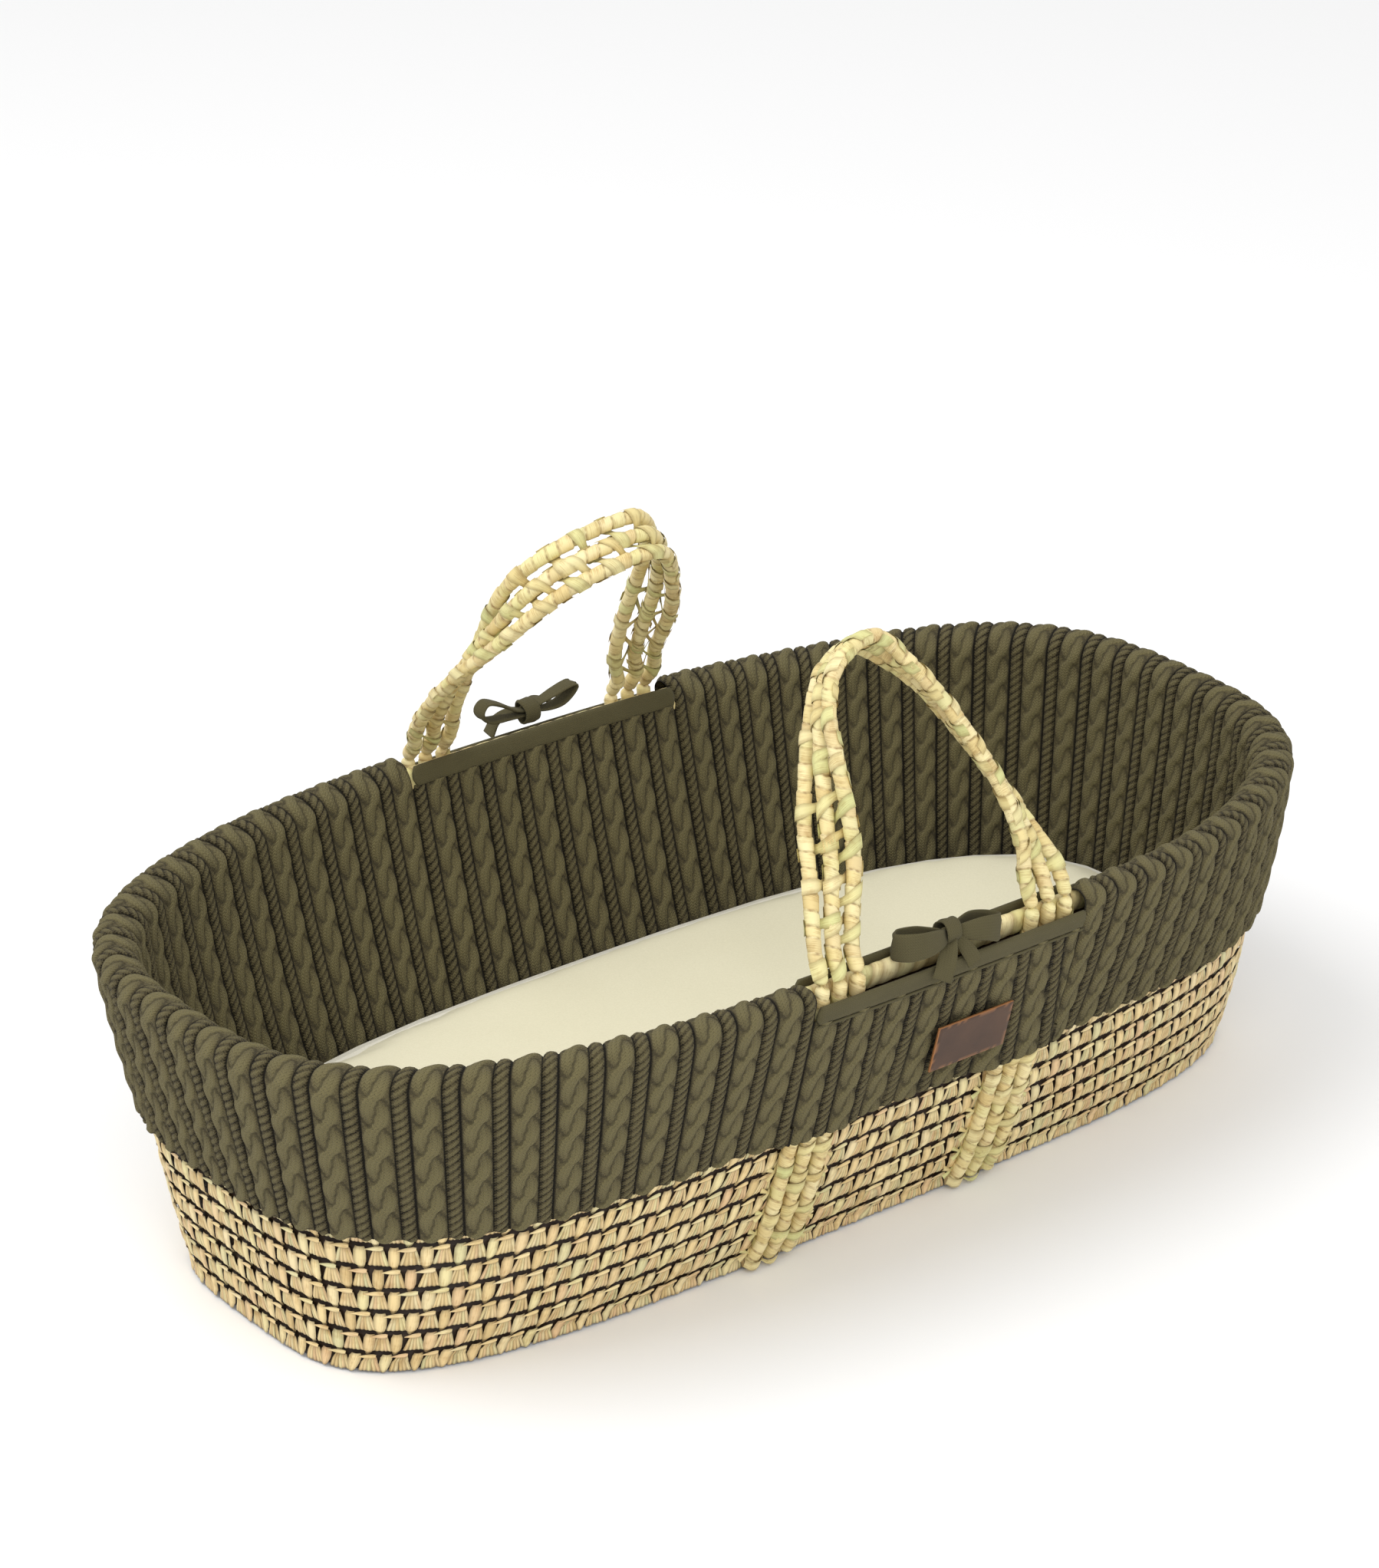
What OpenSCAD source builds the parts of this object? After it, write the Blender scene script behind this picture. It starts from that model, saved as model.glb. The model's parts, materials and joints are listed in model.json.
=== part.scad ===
// Moses basket: a palm-leaf carrying cot with a knitted liner turned over its rim,
// two laced carrying handles and a mattress in a fitted sheet.
// The origin is on the floor under the middle of the basket, and +X points at the head end.

/* [Basket] */
// Half length of the wall's centre line at the rim
rim_half_l = 402.5; // [395:0.5:410]
// Half width of the wall's centre line at the rim
rim_half_w = 204.5; // [200:0.5:212]
// Half length of the wall's centre line at the lowest course
base_half_l = 372; // [365:1:376]
// Half width of the wall's centre line at the lowest course
base_half_w = 136; // [132:1:140]
// How far the base sits towards the head end
base_shift = 7; // [0:1:10]
// Height from one course to the next
course_pitch = 17.3; // [17:0.1:17.4]
// Thickness of the wall
wall_t = 9; // [8:0.5:9]

/* [Handles] */
// Lengthwise place of the left straps and handle feet
left_foot_x = -77; // [-78:1:-70]
// Lengthwise place of the right straps and handle feet
right_foot_x = 92; // [88:1:98]
// Radius of one wrapped cord
cord_r = 4.7; // [4.2:0.1:4.7]
// Distance between neighbouring cords of a strap
cord_gap = 14; // [13.5:0.1:14]
// How far the front handle leans inwards
front_lean = 25.5; // [20:0.5:30]
// How far the rear handle leans inwards
rear_lean = 37.5; // [30:0.5:40]

/* [Liner] */
// Thickness of the knitted cloth
knit_t = 3.2; // [2.8:0.1:3.2]
// Height of the skirt's hem above the floor
hem_z = 118.5; // [110:0.5:122]
// Left end of the slots that let the handles out
slot_left_x = -99; // [-104:1:-99]
// Right end of the slots that let the handles out
slot_right_x = 119; // [119:1:124]
// Length of the leather patch
patch_l = 61; // [50:1:64]
// Height of the leather patch
patch_h = 34; // [28:1:38]

/* [Mattress] */
// Room between the mattress in its sheet and the lining
mattress_room = 1.5; // [1:0.5:8]
// Height of the mattress's top edge above the floor
mattress_edge_z = 79; // [70:1:82]
// How far the middle of the mattress stands above its edge
mattress_crown = 6; // [2:1:10]

/* [Hidden] */
COURSE_NAMES = [for (i = [1:12]) str("wall_course_", i < 10 ? "0" : "", i)];

STRAW = "#d9c08c";
LEAF = "#cdb98a";
KNIT = "#4d4c2f";
JERSEY = "#5a5a38";
LEATHER = "#6f4238";
CREAM = "#d8d2b0";
FRONT = -1;
REAR = 1;

// Wall
WALL_COURSES = 12;
first_course_z = 8.5;
course_h = course_pitch - 0.5;
rim_z = first_course_z + WALL_COURSES * course_pitch;
wall_half_t = wall_t / 2;
SIDE_STEPS = 8;
END_STEPS = 18;
round_steps = 2 * (SIDE_STEPS + END_STEPS);
// Stretches between the slots' seams: from a place and side to a place and side, and the steps
SPANS = [
    [slot_left_x, FRONT, slot_right_x, FRONT, SIDE_STEPS],
    [slot_right_x, FRONT, slot_right_x, REAR, END_STEPS],
    [slot_right_x, REAR, slot_left_x, REAR, SIDE_STEPS],
    [slot_left_x, REAR, slot_left_x, FRONT, END_STEPS]];
BASE_SQUARENESS = 3.95;
RIM_SQUARENESS = 2.87;
// The wall bellies out sideways: its width grows fastest near the base
BELLY = 0.75;

// Straps and handles
strap_off = wall_half_t + cord_r + 0.6;
hinge_y = rim_half_w + strap_off - 0.8;
hinge_z = rim_z + 11.8;
lace_w = cord_gap - 2 * cord_r - 0.6;
lace_t = 1.6;
strap_levels = [2, 12, 20, 30, 42, 55, 85, 120, 160, 190, 214];
lashing_r = 2.2;

// Liner
lining_off = -wall_half_t - 0.8 - knit_t / 2;
skirt_off = strap_off + cord_r + 0.6 + knit_t / 2;
roll_r = (skirt_off - lining_off) / 2;
roll_off = (skirt_off + lining_off) / 2;
roll_z = rim_z + 1.8;
// The hem's elastic draws the skirt in towards the wall away from the straps
hem_tuck = 7;
tuck_run = 60;
lining_foot_z = 24;
binding_h = 13;
outer_binding_z = 218;
inner_binding_z = 228;
outer_binding_t = 4.2;
inner_binding_t = 3.4;
joint_gap = 0.3;
patch_x = 5;
patch_z = 133;
patch_t = 2;
elastic_h = 6.5;
elastic_t = 1.6;

// Bows
bow_x = 8;
bow_z = 233;
knot_r = 6.5;
tape_w = 13;
tape_t = 2.4;
loop_route = [[7, -2.8], [12, -5.5], [22, -8], [31, -8], [37, -4], [37, 4], [31, 8], [22, 8],
              [12, 5.5], [7, 2.8]];
tail_route = [[7, -4, 0], [14, -9, -2], [20, -13, -8], [23, -14, -18]];

// Mattress, from the base panel upwards
panel_z = 3;
panel_t = 11;
lining_base_z = 16.5;
lining_base_t = 3.6;
lip_z = 20.6;
lip_in = 32;
// Where the fitted sheet starts to turn in under the mattress
sheet_turn_z = lip_z + 9;
cloth_t = 1.1;
cloth_gap = 0.2;
MATTRESS_SQUARENESS = 2.85;

// Handle routes: along the basket, up from the hinge, and twist from the wall's plane
front_route = [
    [-77, 6.2, 0], [-77, 12, 0], [-75.5, 22, 0], [-70, 40, 6], [-61, 67, 22], [-55, 96, 54],
    [-48, 125, 82], [-40, 153, 101], [-29, 173, 107], [-14, 185, 102], [7, 189, 96], [25, 174, 80],
    [41, 155, 71], [54, 134, 66], [64, 113, 62], [73, 94, 58], [80, 75, 52], [86, 56, 42],
    [90, 38, 26], [91.7, 22, 6], [92, 12, 0], [92, 6.2, 0]];
rear_route = [
    [-77, 6.2, 0], [-77, 12, 0], [-79, 22, 0], [-85, 38, 0], [-90, 67, 8], [-91, 95, 20],
    [-89, 120, 36], [-85, 146, 60], [-80, 168, 80], [-72, 187, 90], [-60, 201, 90], [-45, 211, 90],
    [-28, 218, 90], [-9, 222, 90], [9, 219, 90], [26, 199, 90], [38, 173, 82], [48, 148, 70],
    [57, 118, 52], [65, 86, 32], [75, 52, 14], [86, 30, 3], [91.2, 19, 0],
    [92, 12, 0], [92, 6.2, 0]];

function signed_pow(v, p) = sign(v) * pow(abs(v), p);
function unit(v) = v / norm(v);
function share(z) = max(0, (z - first_course_z) / (rim_z - first_course_z));
function half_l(z) = base_half_l + (rim_half_l - base_half_l) * share(z);
function half_w(z) = base_half_w + (rim_half_w - base_half_w) * pow(share(z), BELLY);
function squareness(z) = BASE_SQUARENESS + (RIM_SQUARENESS - BASE_SQUARENESS) * min(1, share(z));
function shift(z) = base_shift * (1 - min(1, share(z)));

// A point of the wall at one angle round it, off the centre line and at a height
function wall_point(turn, off, z) = [
    shift(z) + (half_l(z) + off) * signed_pow(cos(turn), 2 / squareness(z)),
    (half_w(z) + off) * signed_pow(sin(turn), 2 / squareness(z)), z];
// The angle at which the wall passes a place along the basket, on one side
function turn_at(x, side, off, z) =
    side * acos(signed_pow((x - shift(z)) / (half_l(z) + off), squareness(z) / 2));
// A point on one side's wall at a place along the basket
function side_point(x, side, off, z) = wall_point(turn_at(x, side, off, z), off, z);

// How far a place round the wall is from the slots, from 0 beside them to 1 at the ends
function away(turn, z) =
    let (mid = (slot_left_x + slot_right_x) / 2, half = (slot_right_x - slot_left_x) / 2,
         run = max(0, min(1, (abs(wall_point(turn, 0, z)[0] - mid) - half) / tuck_run)))
    run * run * (3 - 2 * run);
// A section's point [off, height, tuck], drawn in by its tuck away from the slots
function hung_point(turn, p) =
    wall_point(turn, p[0] - (len(p) > 2 ? p[2] : 0) * away(turn, p[1]), p[1]);

// The angle a share of the way from one seam to the next, anticlockwise seen from above
function span_turn(span, off, z, part) =
    let (a = turn_at(span[0], span[1], off, z), b = turn_at(span[2], span[3], off, z),
         far = b < a ? b + 360 : b)
    a + (far - a) * part;
// A stretch of one section from one seam to the next
function wall_span(section, span, steps) = [for (i = [0:steps])
    [for (p = section) hung_point(span_turn(span, p[0], p[1], i / steps), p)]];
// The angles of a closed ring, which meets every seam
function ring_turns(off, z) = [for (s = SPANS, i = [0:s[4] - 1]) span_turn(s, off, z, i / s[4])];
// A closed ring of one section round the wall
function wall_ring(section) =
    let (turns = [for (p = section) ring_turns(p[0], p[1])])
    [for (i = [0:round_steps - 1]) [for (k = [0:len(section) - 1]) hung_point(turns[k][i], section[k])]];
// A flat strip standing along the wall between two heights
function strip(off, t, z0, z1) = [
    [off - t / 2, z0], [off - t / 2, z0 + (z1 - z0) / 3], [off - t / 2, z0 + (z1 - z0) * 2 / 3],
    [off - t / 2, z1], [off + t / 2, z1], [off + t / 2, z0 + (z1 - z0) * 2 / 3],
    [off + t / 2, z0 + (z1 - z0) / 3], [off + t / 2, z0]];
// A coiled course: flat faces with rounded top and bottom
function coil(z) = [
    [-wall_half_t, z - course_h * 0.3], [-wall_half_t, z + course_h * 0.3],
    [-wall_half_t * 0.5, z + course_h / 2], [wall_half_t * 0.5, z + course_h / 2],
    [wall_half_t, z + course_h * 0.3], [wall_half_t, z - course_h * 0.3],
    [wall_half_t * 0.5, z - course_h / 2], [-wall_half_t * 0.5, z - course_h / 2]];
// The rim's course: flat below, like the others, and rounded from its middle up
function rim_coil(z) = [
    [-wall_half_t, z - course_h * 0.3], [-wall_half_t, z],
    [-wall_half_t * 0.7, z + course_h * 0.3], [-wall_half_t * 0.4, z + course_h / 2],
    [wall_half_t * 0.4, z + course_h / 2], [wall_half_t * 0.7, z + course_h * 0.3],
    [wall_half_t, z], [wall_half_t, z - course_h * 0.3],
    [wall_half_t * 0.5, z - course_h / 2], [-wall_half_t * 0.5, z - course_h / 2]];
// The cover's section: up the inside, over the rolled rim and down the outside, and back
function cover_side(grow) = concat(
    [for (i = [0:4]) [lining_off - grow, lining_foot_z + (roll_z - lining_foot_z) * i / 5]],
    [for (a = [180:-20:0]) [roll_off + (roll_r + grow) * cos(a), roll_z + (roll_r + grow) * sin(a)]],
    [for (i = [1:3]) [skirt_off + grow, roll_z + (hem_z - roll_z) * i / 3, hem_tuck * i / 3]]);
function backwards(list) = [for (i = [len(list) - 1:-1:0]) list[i]];
cover_section = concat(cover_side(knit_t / 2), backwards(cover_side(-knit_t / 2)));

// Joins rings of points into a closed solid, with flat ends or wrapped round on itself
module skin(rings, wrap = false) {
    m = len(rings);
    n = len(rings[0]);
    walls = [for (i = [0:m - (wrap ? 1 : 2)], j = [0:n - 1])
        let (a = i * n + j, b = i * n + (j + 1) % n,
             c = ((i + 1) % m) * n + (j + 1) % n, d = ((i + 1) % m) * n + j)
        each [[a, c, b], [a, d, c]]];
    ends = [[for (j = [0:n - 1]) j], [for (j = [n - 1:-1:0]) (m - 1) * n + j]];
    polyhedron(points = [for (r = rings) each r], faces = wrap ? walls : concat(walls, ends));
}

// A cord or strip: a ring at each point, across a given direction
function tube_ring(centre, along, across, section) =
    let (third = cross(along, across))
    [for (p = section) centre + p[0] * across + p[1] * third];
function circle_section(r, sides) =
    [for (j = [0:sides - 1]) r * [cos(360 * j / sides), sin(360 * j / sides)]];
function strip_section(w, t) = [[w, t] / 2, [-w, t] / 2, [-w, -t] / 2, [w, -t] / 2];
function heading(route, i) = unit(route[min(i + 1, len(route) - 1)] - route[max(i - 1, 0)]);

// The mattress's outline, set in from the lining, at one angle round it
function oval_point(turn, inset, z) =
    let (off = lining_off - knit_t / 2 - mattress_room - inset)
    [shift(z) + (half_l(z) + off) * signed_pow(cos(turn), 2 / MATTRESS_SQUARENESS),
     (half_w(z) + off) * signed_pow(sin(turn), 2 / MATTRESS_SQUARENESS), z];

// One oval outline for each [inset, height], closed at its middle below and above.
// The first levels may be an inner skin, whose faces are split like those of the outer one.
module oval_solid(profile, inner_levels = 0) {
    n = round_steps;
    m = len(profile);
    rings = [for (p = profile) [for (turn = ring_turns(0, p[1])) oval_point(turn, p[0], p[1])]];
    low = [shift(profile[0][1]), 0, profile[0][1]];
    high = [shift(profile[m - 1][1]), 0, profile[m - 1][1]];
    walls = [for (i = [0:m - 2], j = [0:n - 1])
        let (a = i * n + j, b = i * n + (j + 1) % n, c = b + n, d = a + n)
        each i < inner_levels ? [[a, d, b], [b, d, c]] : [[a, c, b], [a, d, c]]];
    caps = [for (j = [0:n - 1]) each [
        [m * n, j, (j + 1) % n],
        [m * n + 1, (m - 1) * n + (j + 1) % n, (m - 1) * n + j]]];
    polyhedron(points = concat([for (r = rings) each r], [low, high]), faces = concat(walls, caps));
}

// The mattress's crowned top, drawn in from its edge
function crowned_top(inset, edge_z) = [
    [inset + 1, edge_z - 5], [inset + 5, edge_z - 1], [inset + 14, edge_z + mattress_crown * 0.35],
    [inset + 60, edge_z + mattress_crown * 0.8], [inset + 120, edge_z + mattress_crown]];

// A flat board or cloth that fills the wall's outline at one height
module oval_board(off, z, t) {
    translate([0, 0, z]) linear_extrude(t)
        polygon([for (turn = ring_turns(off, z)) let (p = wall_point(turn, off, z)) [p[0], p[1]]]);
}

module base_panel() {
    color(LEAF) oval_board(-wall_half_t - 0.5, panel_z, panel_t);
}

module wall_course(number) {
    color(number % 2 == 0 ? STRAW : LEAF)
        skin(wall_ring(coil(first_course_z + (number - 1) * course_pitch)), wrap = true);
}

module rim_course() {
    color(STRAW) skin(wall_ring(rim_coil(rim_z)), wrap = true);
}

// Route of a strap up the outside of the wall to the hinge
function strap_route(x, side) = concat(
    [for (z = strap_levels) side_point(x, side, strap_off, z)], [[x, side * hinge_y, hinge_z]]);

module strap_cord(x, side) {
    route = strap_route(x, side);
    last = len(route) - 1;
    tip = route[last];
    skin(concat(
        [for (i = [0:last]) tube_ring(route[i], heading(route, i), [1, 0, 0], circle_section(cord_r, 8))],
        [for (s = [[0.7, 0.7], [0.95, 0.3]])
            tube_ring(tip + [0, 0, cord_r * s[0]], [0, 0, 1], [1, 0, 0], circle_section(cord_r * s[1], 8))]));
}

module strap_cords(x, side) {
    color(STRAW) for (k = [-1:1]) strap_cord(x + k * cord_gap, side);
}

module strap_lacing(x, side) {
    color(LEAF) for (k = [-0.5, 0.5]) {
        route = strap_route(x + k * cord_gap, side);
        skin([for (i = [0:len(route) - 1])
            tube_ring(route[i], heading(route, i), [1, 0, 0], strip_section(lace_w, lace_t))]);
    }
}

// Leaf knots that tie each strap to the wall on both of its sides
module strap_lashings() {
    reach = cord_gap + cord_r + lashing_r + 0.4;
    off = wall_half_t + lashing_r + 0.7;
    color(LEAF) for (x = [left_foot_x, right_foot_x], side = [FRONT, REAR], edge = [-1, 1], row = [1:5])
        translate(side_point(x + edge * reach, side, off, first_course_z + (row - 0.5) * course_pitch))
            sphere(r = lashing_r, $fn = 16);
}

// Stands a handle drawn upright over the hinge line onto its side of the basket
module on_hinge(side) {
    translate([0, side * hinge_y, hinge_z]) rotate([side * (side == FRONT ? front_lean : rear_lean), 0, 0])
        children();
}

// One strand of a handle, offset across the strap, with its own section
module handle_strand(route, side, offset, section) {
    spine = [for (p = route) [p[0], 0, p[1]]];
    skin([for (i = [0:len(route) - 1])
        let (along = heading(spine, i),
             face = [-along[2] * sin(route[i][2]), side * cos(route[i][2]), along[0] * sin(route[i][2])],
             across = cross(along, face))
        tube_ring(spine[i] + offset * across, along, across, section)]);
}

module handle_cord(side, place) {
    color(STRAW) on_hinge(side) handle_strand(side == FRONT ? front_route : rear_route, side,
        place * cord_gap, circle_section(cord_r, 8));
}

module handle_lacing(side) {
    color(LEAF) on_hinge(side) for (place = [-0.5, 0.5])
        handle_strand(side == FRONT ? front_route : rear_route, side,
            place * cord_gap, strip_section(lace_w, lace_t));
}

module cover_head_end() {
    color(KNIT) skin(wall_span(cover_section, SPANS[1], END_STEPS));
}

module cover_foot_end() {
    color(KNIT) skin(wall_span(cover_section, SPANS[3], END_STEPS));
}

// A strip along one side of the basket between the two slot seams
module centre_strip(side, off, t, z0, z1) {
    left = slot_left_x + joint_gap;
    right = slot_right_x - joint_gap;
    span = side == FRONT ? [left, FRONT, right, FRONT] : [right, REAR, left, REAR];
    skin(wall_span(strip(off, t, z0, z1), span, SIDE_STEPS));
}

module lining_centre(side) {
    color(KNIT) centre_strip(side, lining_off, knit_t, lining_foot_z,
        inner_binding_z - binding_h - joint_gap);
}

module skirt_centre(side) {
    color(KNIT) centre_strip(side, skirt_off, knit_t, hem_z, outer_binding_z - binding_h - joint_gap);
}

module inner_binding(side) {
    color(JERSEY) centre_strip(side, lining_off, inner_binding_t, inner_binding_z - binding_h,
        inner_binding_z);
}

module outer_binding(side) {
    color(JERSEY) centre_strip(side, skirt_off + (outer_binding_t - knit_t) / 2, outer_binding_t,
        outer_binding_z - binding_h, outer_binding_z);
}

module lining_base() {
    color(JERSEY) oval_board(-wall_half_t - knit_t - 1.2, lining_base_z, lining_base_t);
}

module hem_elastic() {
    z0 = hem_z - joint_gap - elastic_h;
    color(JERSEY) skin(wall_ring([
        [skirt_off - elastic_t / 2, z0, hem_tuck], [skirt_off - elastic_t / 2, z0 + elastic_h, hem_tuck],
        [skirt_off + elastic_t / 2, z0 + elastic_h, hem_tuck],
        [skirt_off + elastic_t / 2, z0, hem_tuck]]), wrap = true);
}

// Stands a bow over the middle of a slot, turned so that its tails hang outwards
module at_bow(side) {
    translate([bow_x, side * hinge_y, bow_z]) rotate([0, 0, side == FRONT ? 0 : 180]) children();
}

module bow_knot(side) {
    color(JERSEY) at_bow(side) sphere(r = knot_r, $fn = 32);
}

// A run of tape standing on its edge
module tape(route) {
    skin([for (i = [0:len(route) - 1])
        tube_ring(route[i], heading(route, i), [0, 0, 1], strip_section(tape_w, tape_t))]);
}

module bow_loops(side) {
    color(JERSEY) at_bow(side) for (flip = [1, -1])
        tape([for (p = flip > 0 ? loop_route : backwards(loop_route)) [flip * p[0], p[1], 0]]);
}

module bow_tails(side) {
    color(JERSEY) at_bow(side) for (flip = [1, -1])
        tape([for (p = [for (q = tail_route) [flip * q[0], q[1] - 3.5, q[2] - 4]]) p]);
}

module leather_patch() {
    off = skirt_off + knit_t / 2 + 0.3 + patch_t / 2;
    color(LEATHER) skin(wall_span(strip(off, patch_t, patch_z, patch_z + patch_h),
        [patch_x, FRONT, patch_x + patch_l, FRONT], 4));
}

function core_inset() = 2 * (cloth_t + cloth_gap);

module mattress_core() {
    z0 = lip_z + 2 * (cloth_t + cloth_gap);
    color("white") oval_solid(concat([[core_inset() + 4, z0], [core_inset(), z0 + 5]],
        crowned_top(core_inset(), mattress_edge_z - core_inset())));
}

module mattress_cover_bottom() {
    z0 = lip_z + cloth_t + cloth_gap;
    color("ivory") oval_solid([[core_inset() + 5, z0], [core_inset() + 5, z0 + cloth_t]]);
}

// A cloth cap over the mattress: one crowned skin inside another
module cloth_cap(inset, foot_z, edge_z) {
    oval_solid(concat(
        backwards(crowned_top(inset + cloth_t, edge_z - cloth_t)), [[inset + cloth_t, foot_z]],
        [[inset, foot_z]], crowned_top(inset, edge_z)), 5);
}

module mattress_cover_top() {
    color("ivory") cloth_cap(cloth_t + cloth_gap, sheet_turn_z + 1,
        mattress_edge_z - cloth_t - cloth_gap);
}

// The sheet goes over the mattress and turns in under it
module fitted_sheet() {
    color(CREAM) oval_solid(concat(
        backwards(crowned_top(cloth_t, mattress_edge_z - cloth_t)),
        [[cloth_t, sheet_turn_z], [cloth_t + 5, lip_z + cloth_t], [lip_in, lip_z + cloth_t],
         [lip_in, lip_z], [5, lip_z], [0, lip_z + 8]],
        crowned_top(0, mattress_edge_z)), 5);
}

module sheet_elastic() {
    color(CREAM) difference() {
        oval_solid([[lip_in + joint_gap, lip_z], [lip_in + joint_gap, lip_z + cloth_t]]);
        translate([0, 0, -1]) oval_solid([[lip_in + 5, lip_z], [lip_in + 5, lip_z + cloth_t + 2]]);
    }
}

base_panel();
for (i = [1:WALL_COURSES]) wall_course(i);
rim_course();
strap_cords(left_foot_x, FRONT);  // front_left_strap_cords
strap_lacing(left_foot_x, FRONT);  // front_left_strap_lacing
strap_cords(right_foot_x, FRONT);  // front_right_strap_cords
strap_lacing(right_foot_x, FRONT);  // front_right_strap_lacing
strap_cords(left_foot_x, REAR);  // rear_left_strap_cords
strap_lacing(left_foot_x, REAR);  // rear_left_strap_lacing
strap_cords(right_foot_x, REAR);  // rear_right_strap_cords
strap_lacing(right_foot_x, REAR);  // rear_right_strap_lacing
strap_lashings();
handle_cord(FRONT, 1);  // front_handle_outer_cord
handle_cord(FRONT, 0);  // front_handle_middle_cord
handle_cord(FRONT, -1);  // front_handle_inner_cord
handle_lacing(FRONT);  // front_handle_lacing
handle_cord(REAR, 1);  // rear_handle_outer_cord
handle_cord(REAR, 0);  // rear_handle_middle_cord
handle_cord(REAR, -1);  // rear_handle_inner_cord
handle_lacing(REAR);  // rear_handle_lacing
cover_head_end();
cover_foot_end();
lining_centre(FRONT);  // lining_front_centre
lining_centre(REAR);  // lining_rear_centre
skirt_centre(FRONT);  // skirt_front_centre
skirt_centre(REAR);  // skirt_rear_centre
lining_base();
hem_elastic();
outer_binding(FRONT);  // front_outer_binding
inner_binding(FRONT);  // front_inner_binding
outer_binding(REAR);  // rear_outer_binding
inner_binding(REAR);  // rear_inner_binding
bow_knot(FRONT);  // front_bow_knot
bow_loops(FRONT);  // front_bow_loops
bow_tails(FRONT);  // front_bow_tails
bow_knot(REAR);  // rear_bow_knot
bow_loops(REAR);  // rear_bow_loops
bow_tails(REAR);  // rear_bow_tails
leather_patch();
mattress_core();
mattress_cover_top();
mattress_cover_bottom();
fitted_sheet();
sheet_elastic();
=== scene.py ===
"""Moses basket: a palm-leaf carrying cot with a knitted liner, two laced handles and a mattress.

Each sub-assembly is a class that builds its own meshes in metres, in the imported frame.
"""

import json
import logging
import math
from dataclasses import dataclass, field
from enum import Enum

import bpy
import numpy as np
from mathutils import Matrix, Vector


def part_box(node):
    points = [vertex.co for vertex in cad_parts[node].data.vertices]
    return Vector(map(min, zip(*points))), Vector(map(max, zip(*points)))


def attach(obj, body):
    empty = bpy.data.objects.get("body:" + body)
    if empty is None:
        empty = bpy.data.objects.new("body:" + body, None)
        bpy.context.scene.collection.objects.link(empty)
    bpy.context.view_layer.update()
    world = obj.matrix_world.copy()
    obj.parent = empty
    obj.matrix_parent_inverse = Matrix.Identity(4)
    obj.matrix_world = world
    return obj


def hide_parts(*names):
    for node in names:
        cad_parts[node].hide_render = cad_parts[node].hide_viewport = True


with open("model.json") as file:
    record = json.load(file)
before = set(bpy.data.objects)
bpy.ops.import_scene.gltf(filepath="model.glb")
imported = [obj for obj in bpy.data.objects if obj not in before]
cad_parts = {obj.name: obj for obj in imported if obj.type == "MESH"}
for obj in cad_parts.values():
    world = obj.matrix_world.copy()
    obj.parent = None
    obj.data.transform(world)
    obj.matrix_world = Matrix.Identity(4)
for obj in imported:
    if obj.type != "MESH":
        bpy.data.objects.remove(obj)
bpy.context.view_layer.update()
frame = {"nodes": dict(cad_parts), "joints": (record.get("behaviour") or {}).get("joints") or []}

log = logging.getLogger("moses_basket")
MM = 0.001
Array = np.ndarray


class Side(Enum):
    """A long side of the basket, with the sign of its Y."""

    FRONT = -1
    REAR = 1

    @property
    def label(self) -> str:
        """The side's name, as it stands in the names of pieces."""
        return self.name.lower()

    def span(self, left: float, right: float) -> tuple[tuple[float, int], tuple[float, int]]:
        """The two ends of a stretch of this side's wall, in anticlockwise order."""
        start, end = (left, right) if self is Side.FRONT else (right, left)
        return (start, self.value), (end, self.value)


# --------------------------------------------------------------------------- meshes


def unit(v: Array) -> Array:
    """Scale vectors to length one along their last axis."""
    return v / np.maximum(np.linalg.norm(v, axis=-1, keepdims=True), 1e-12)


def smoothstep(x: Array) -> Array:
    """Ease from 0 to 1 over 0 to 1."""
    x = np.clip(x, 0.0, 1.0)
    return x * x * (3.0 - 2.0 * x)


def grid_faces(rows: int, cols: int, wrap_cols: bool = False, wrap_rows: bool = False) -> Array:
    """List the quads of a grid of points.

    Args:
        rows: number of rows of points.
        cols: number of points in a row.
        wrap_cols: whether the last column joins the first.
        wrap_rows: whether the last row joins the first.

    Returns:
        Vertex numbers, four to a face.
    """
    i = np.arange(rows if wrap_rows else rows - 1)[:, None]
    j = np.arange(cols if wrap_cols else cols - 1)[None, :]
    i2, j2 = (i + 1) % rows, (j + 1) % cols
    quads = np.stack([i * cols + j, i * cols + j2, i2 * cols + j2, i2 * cols + j], axis=-1)
    return quads.reshape(-1, 4)


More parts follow.
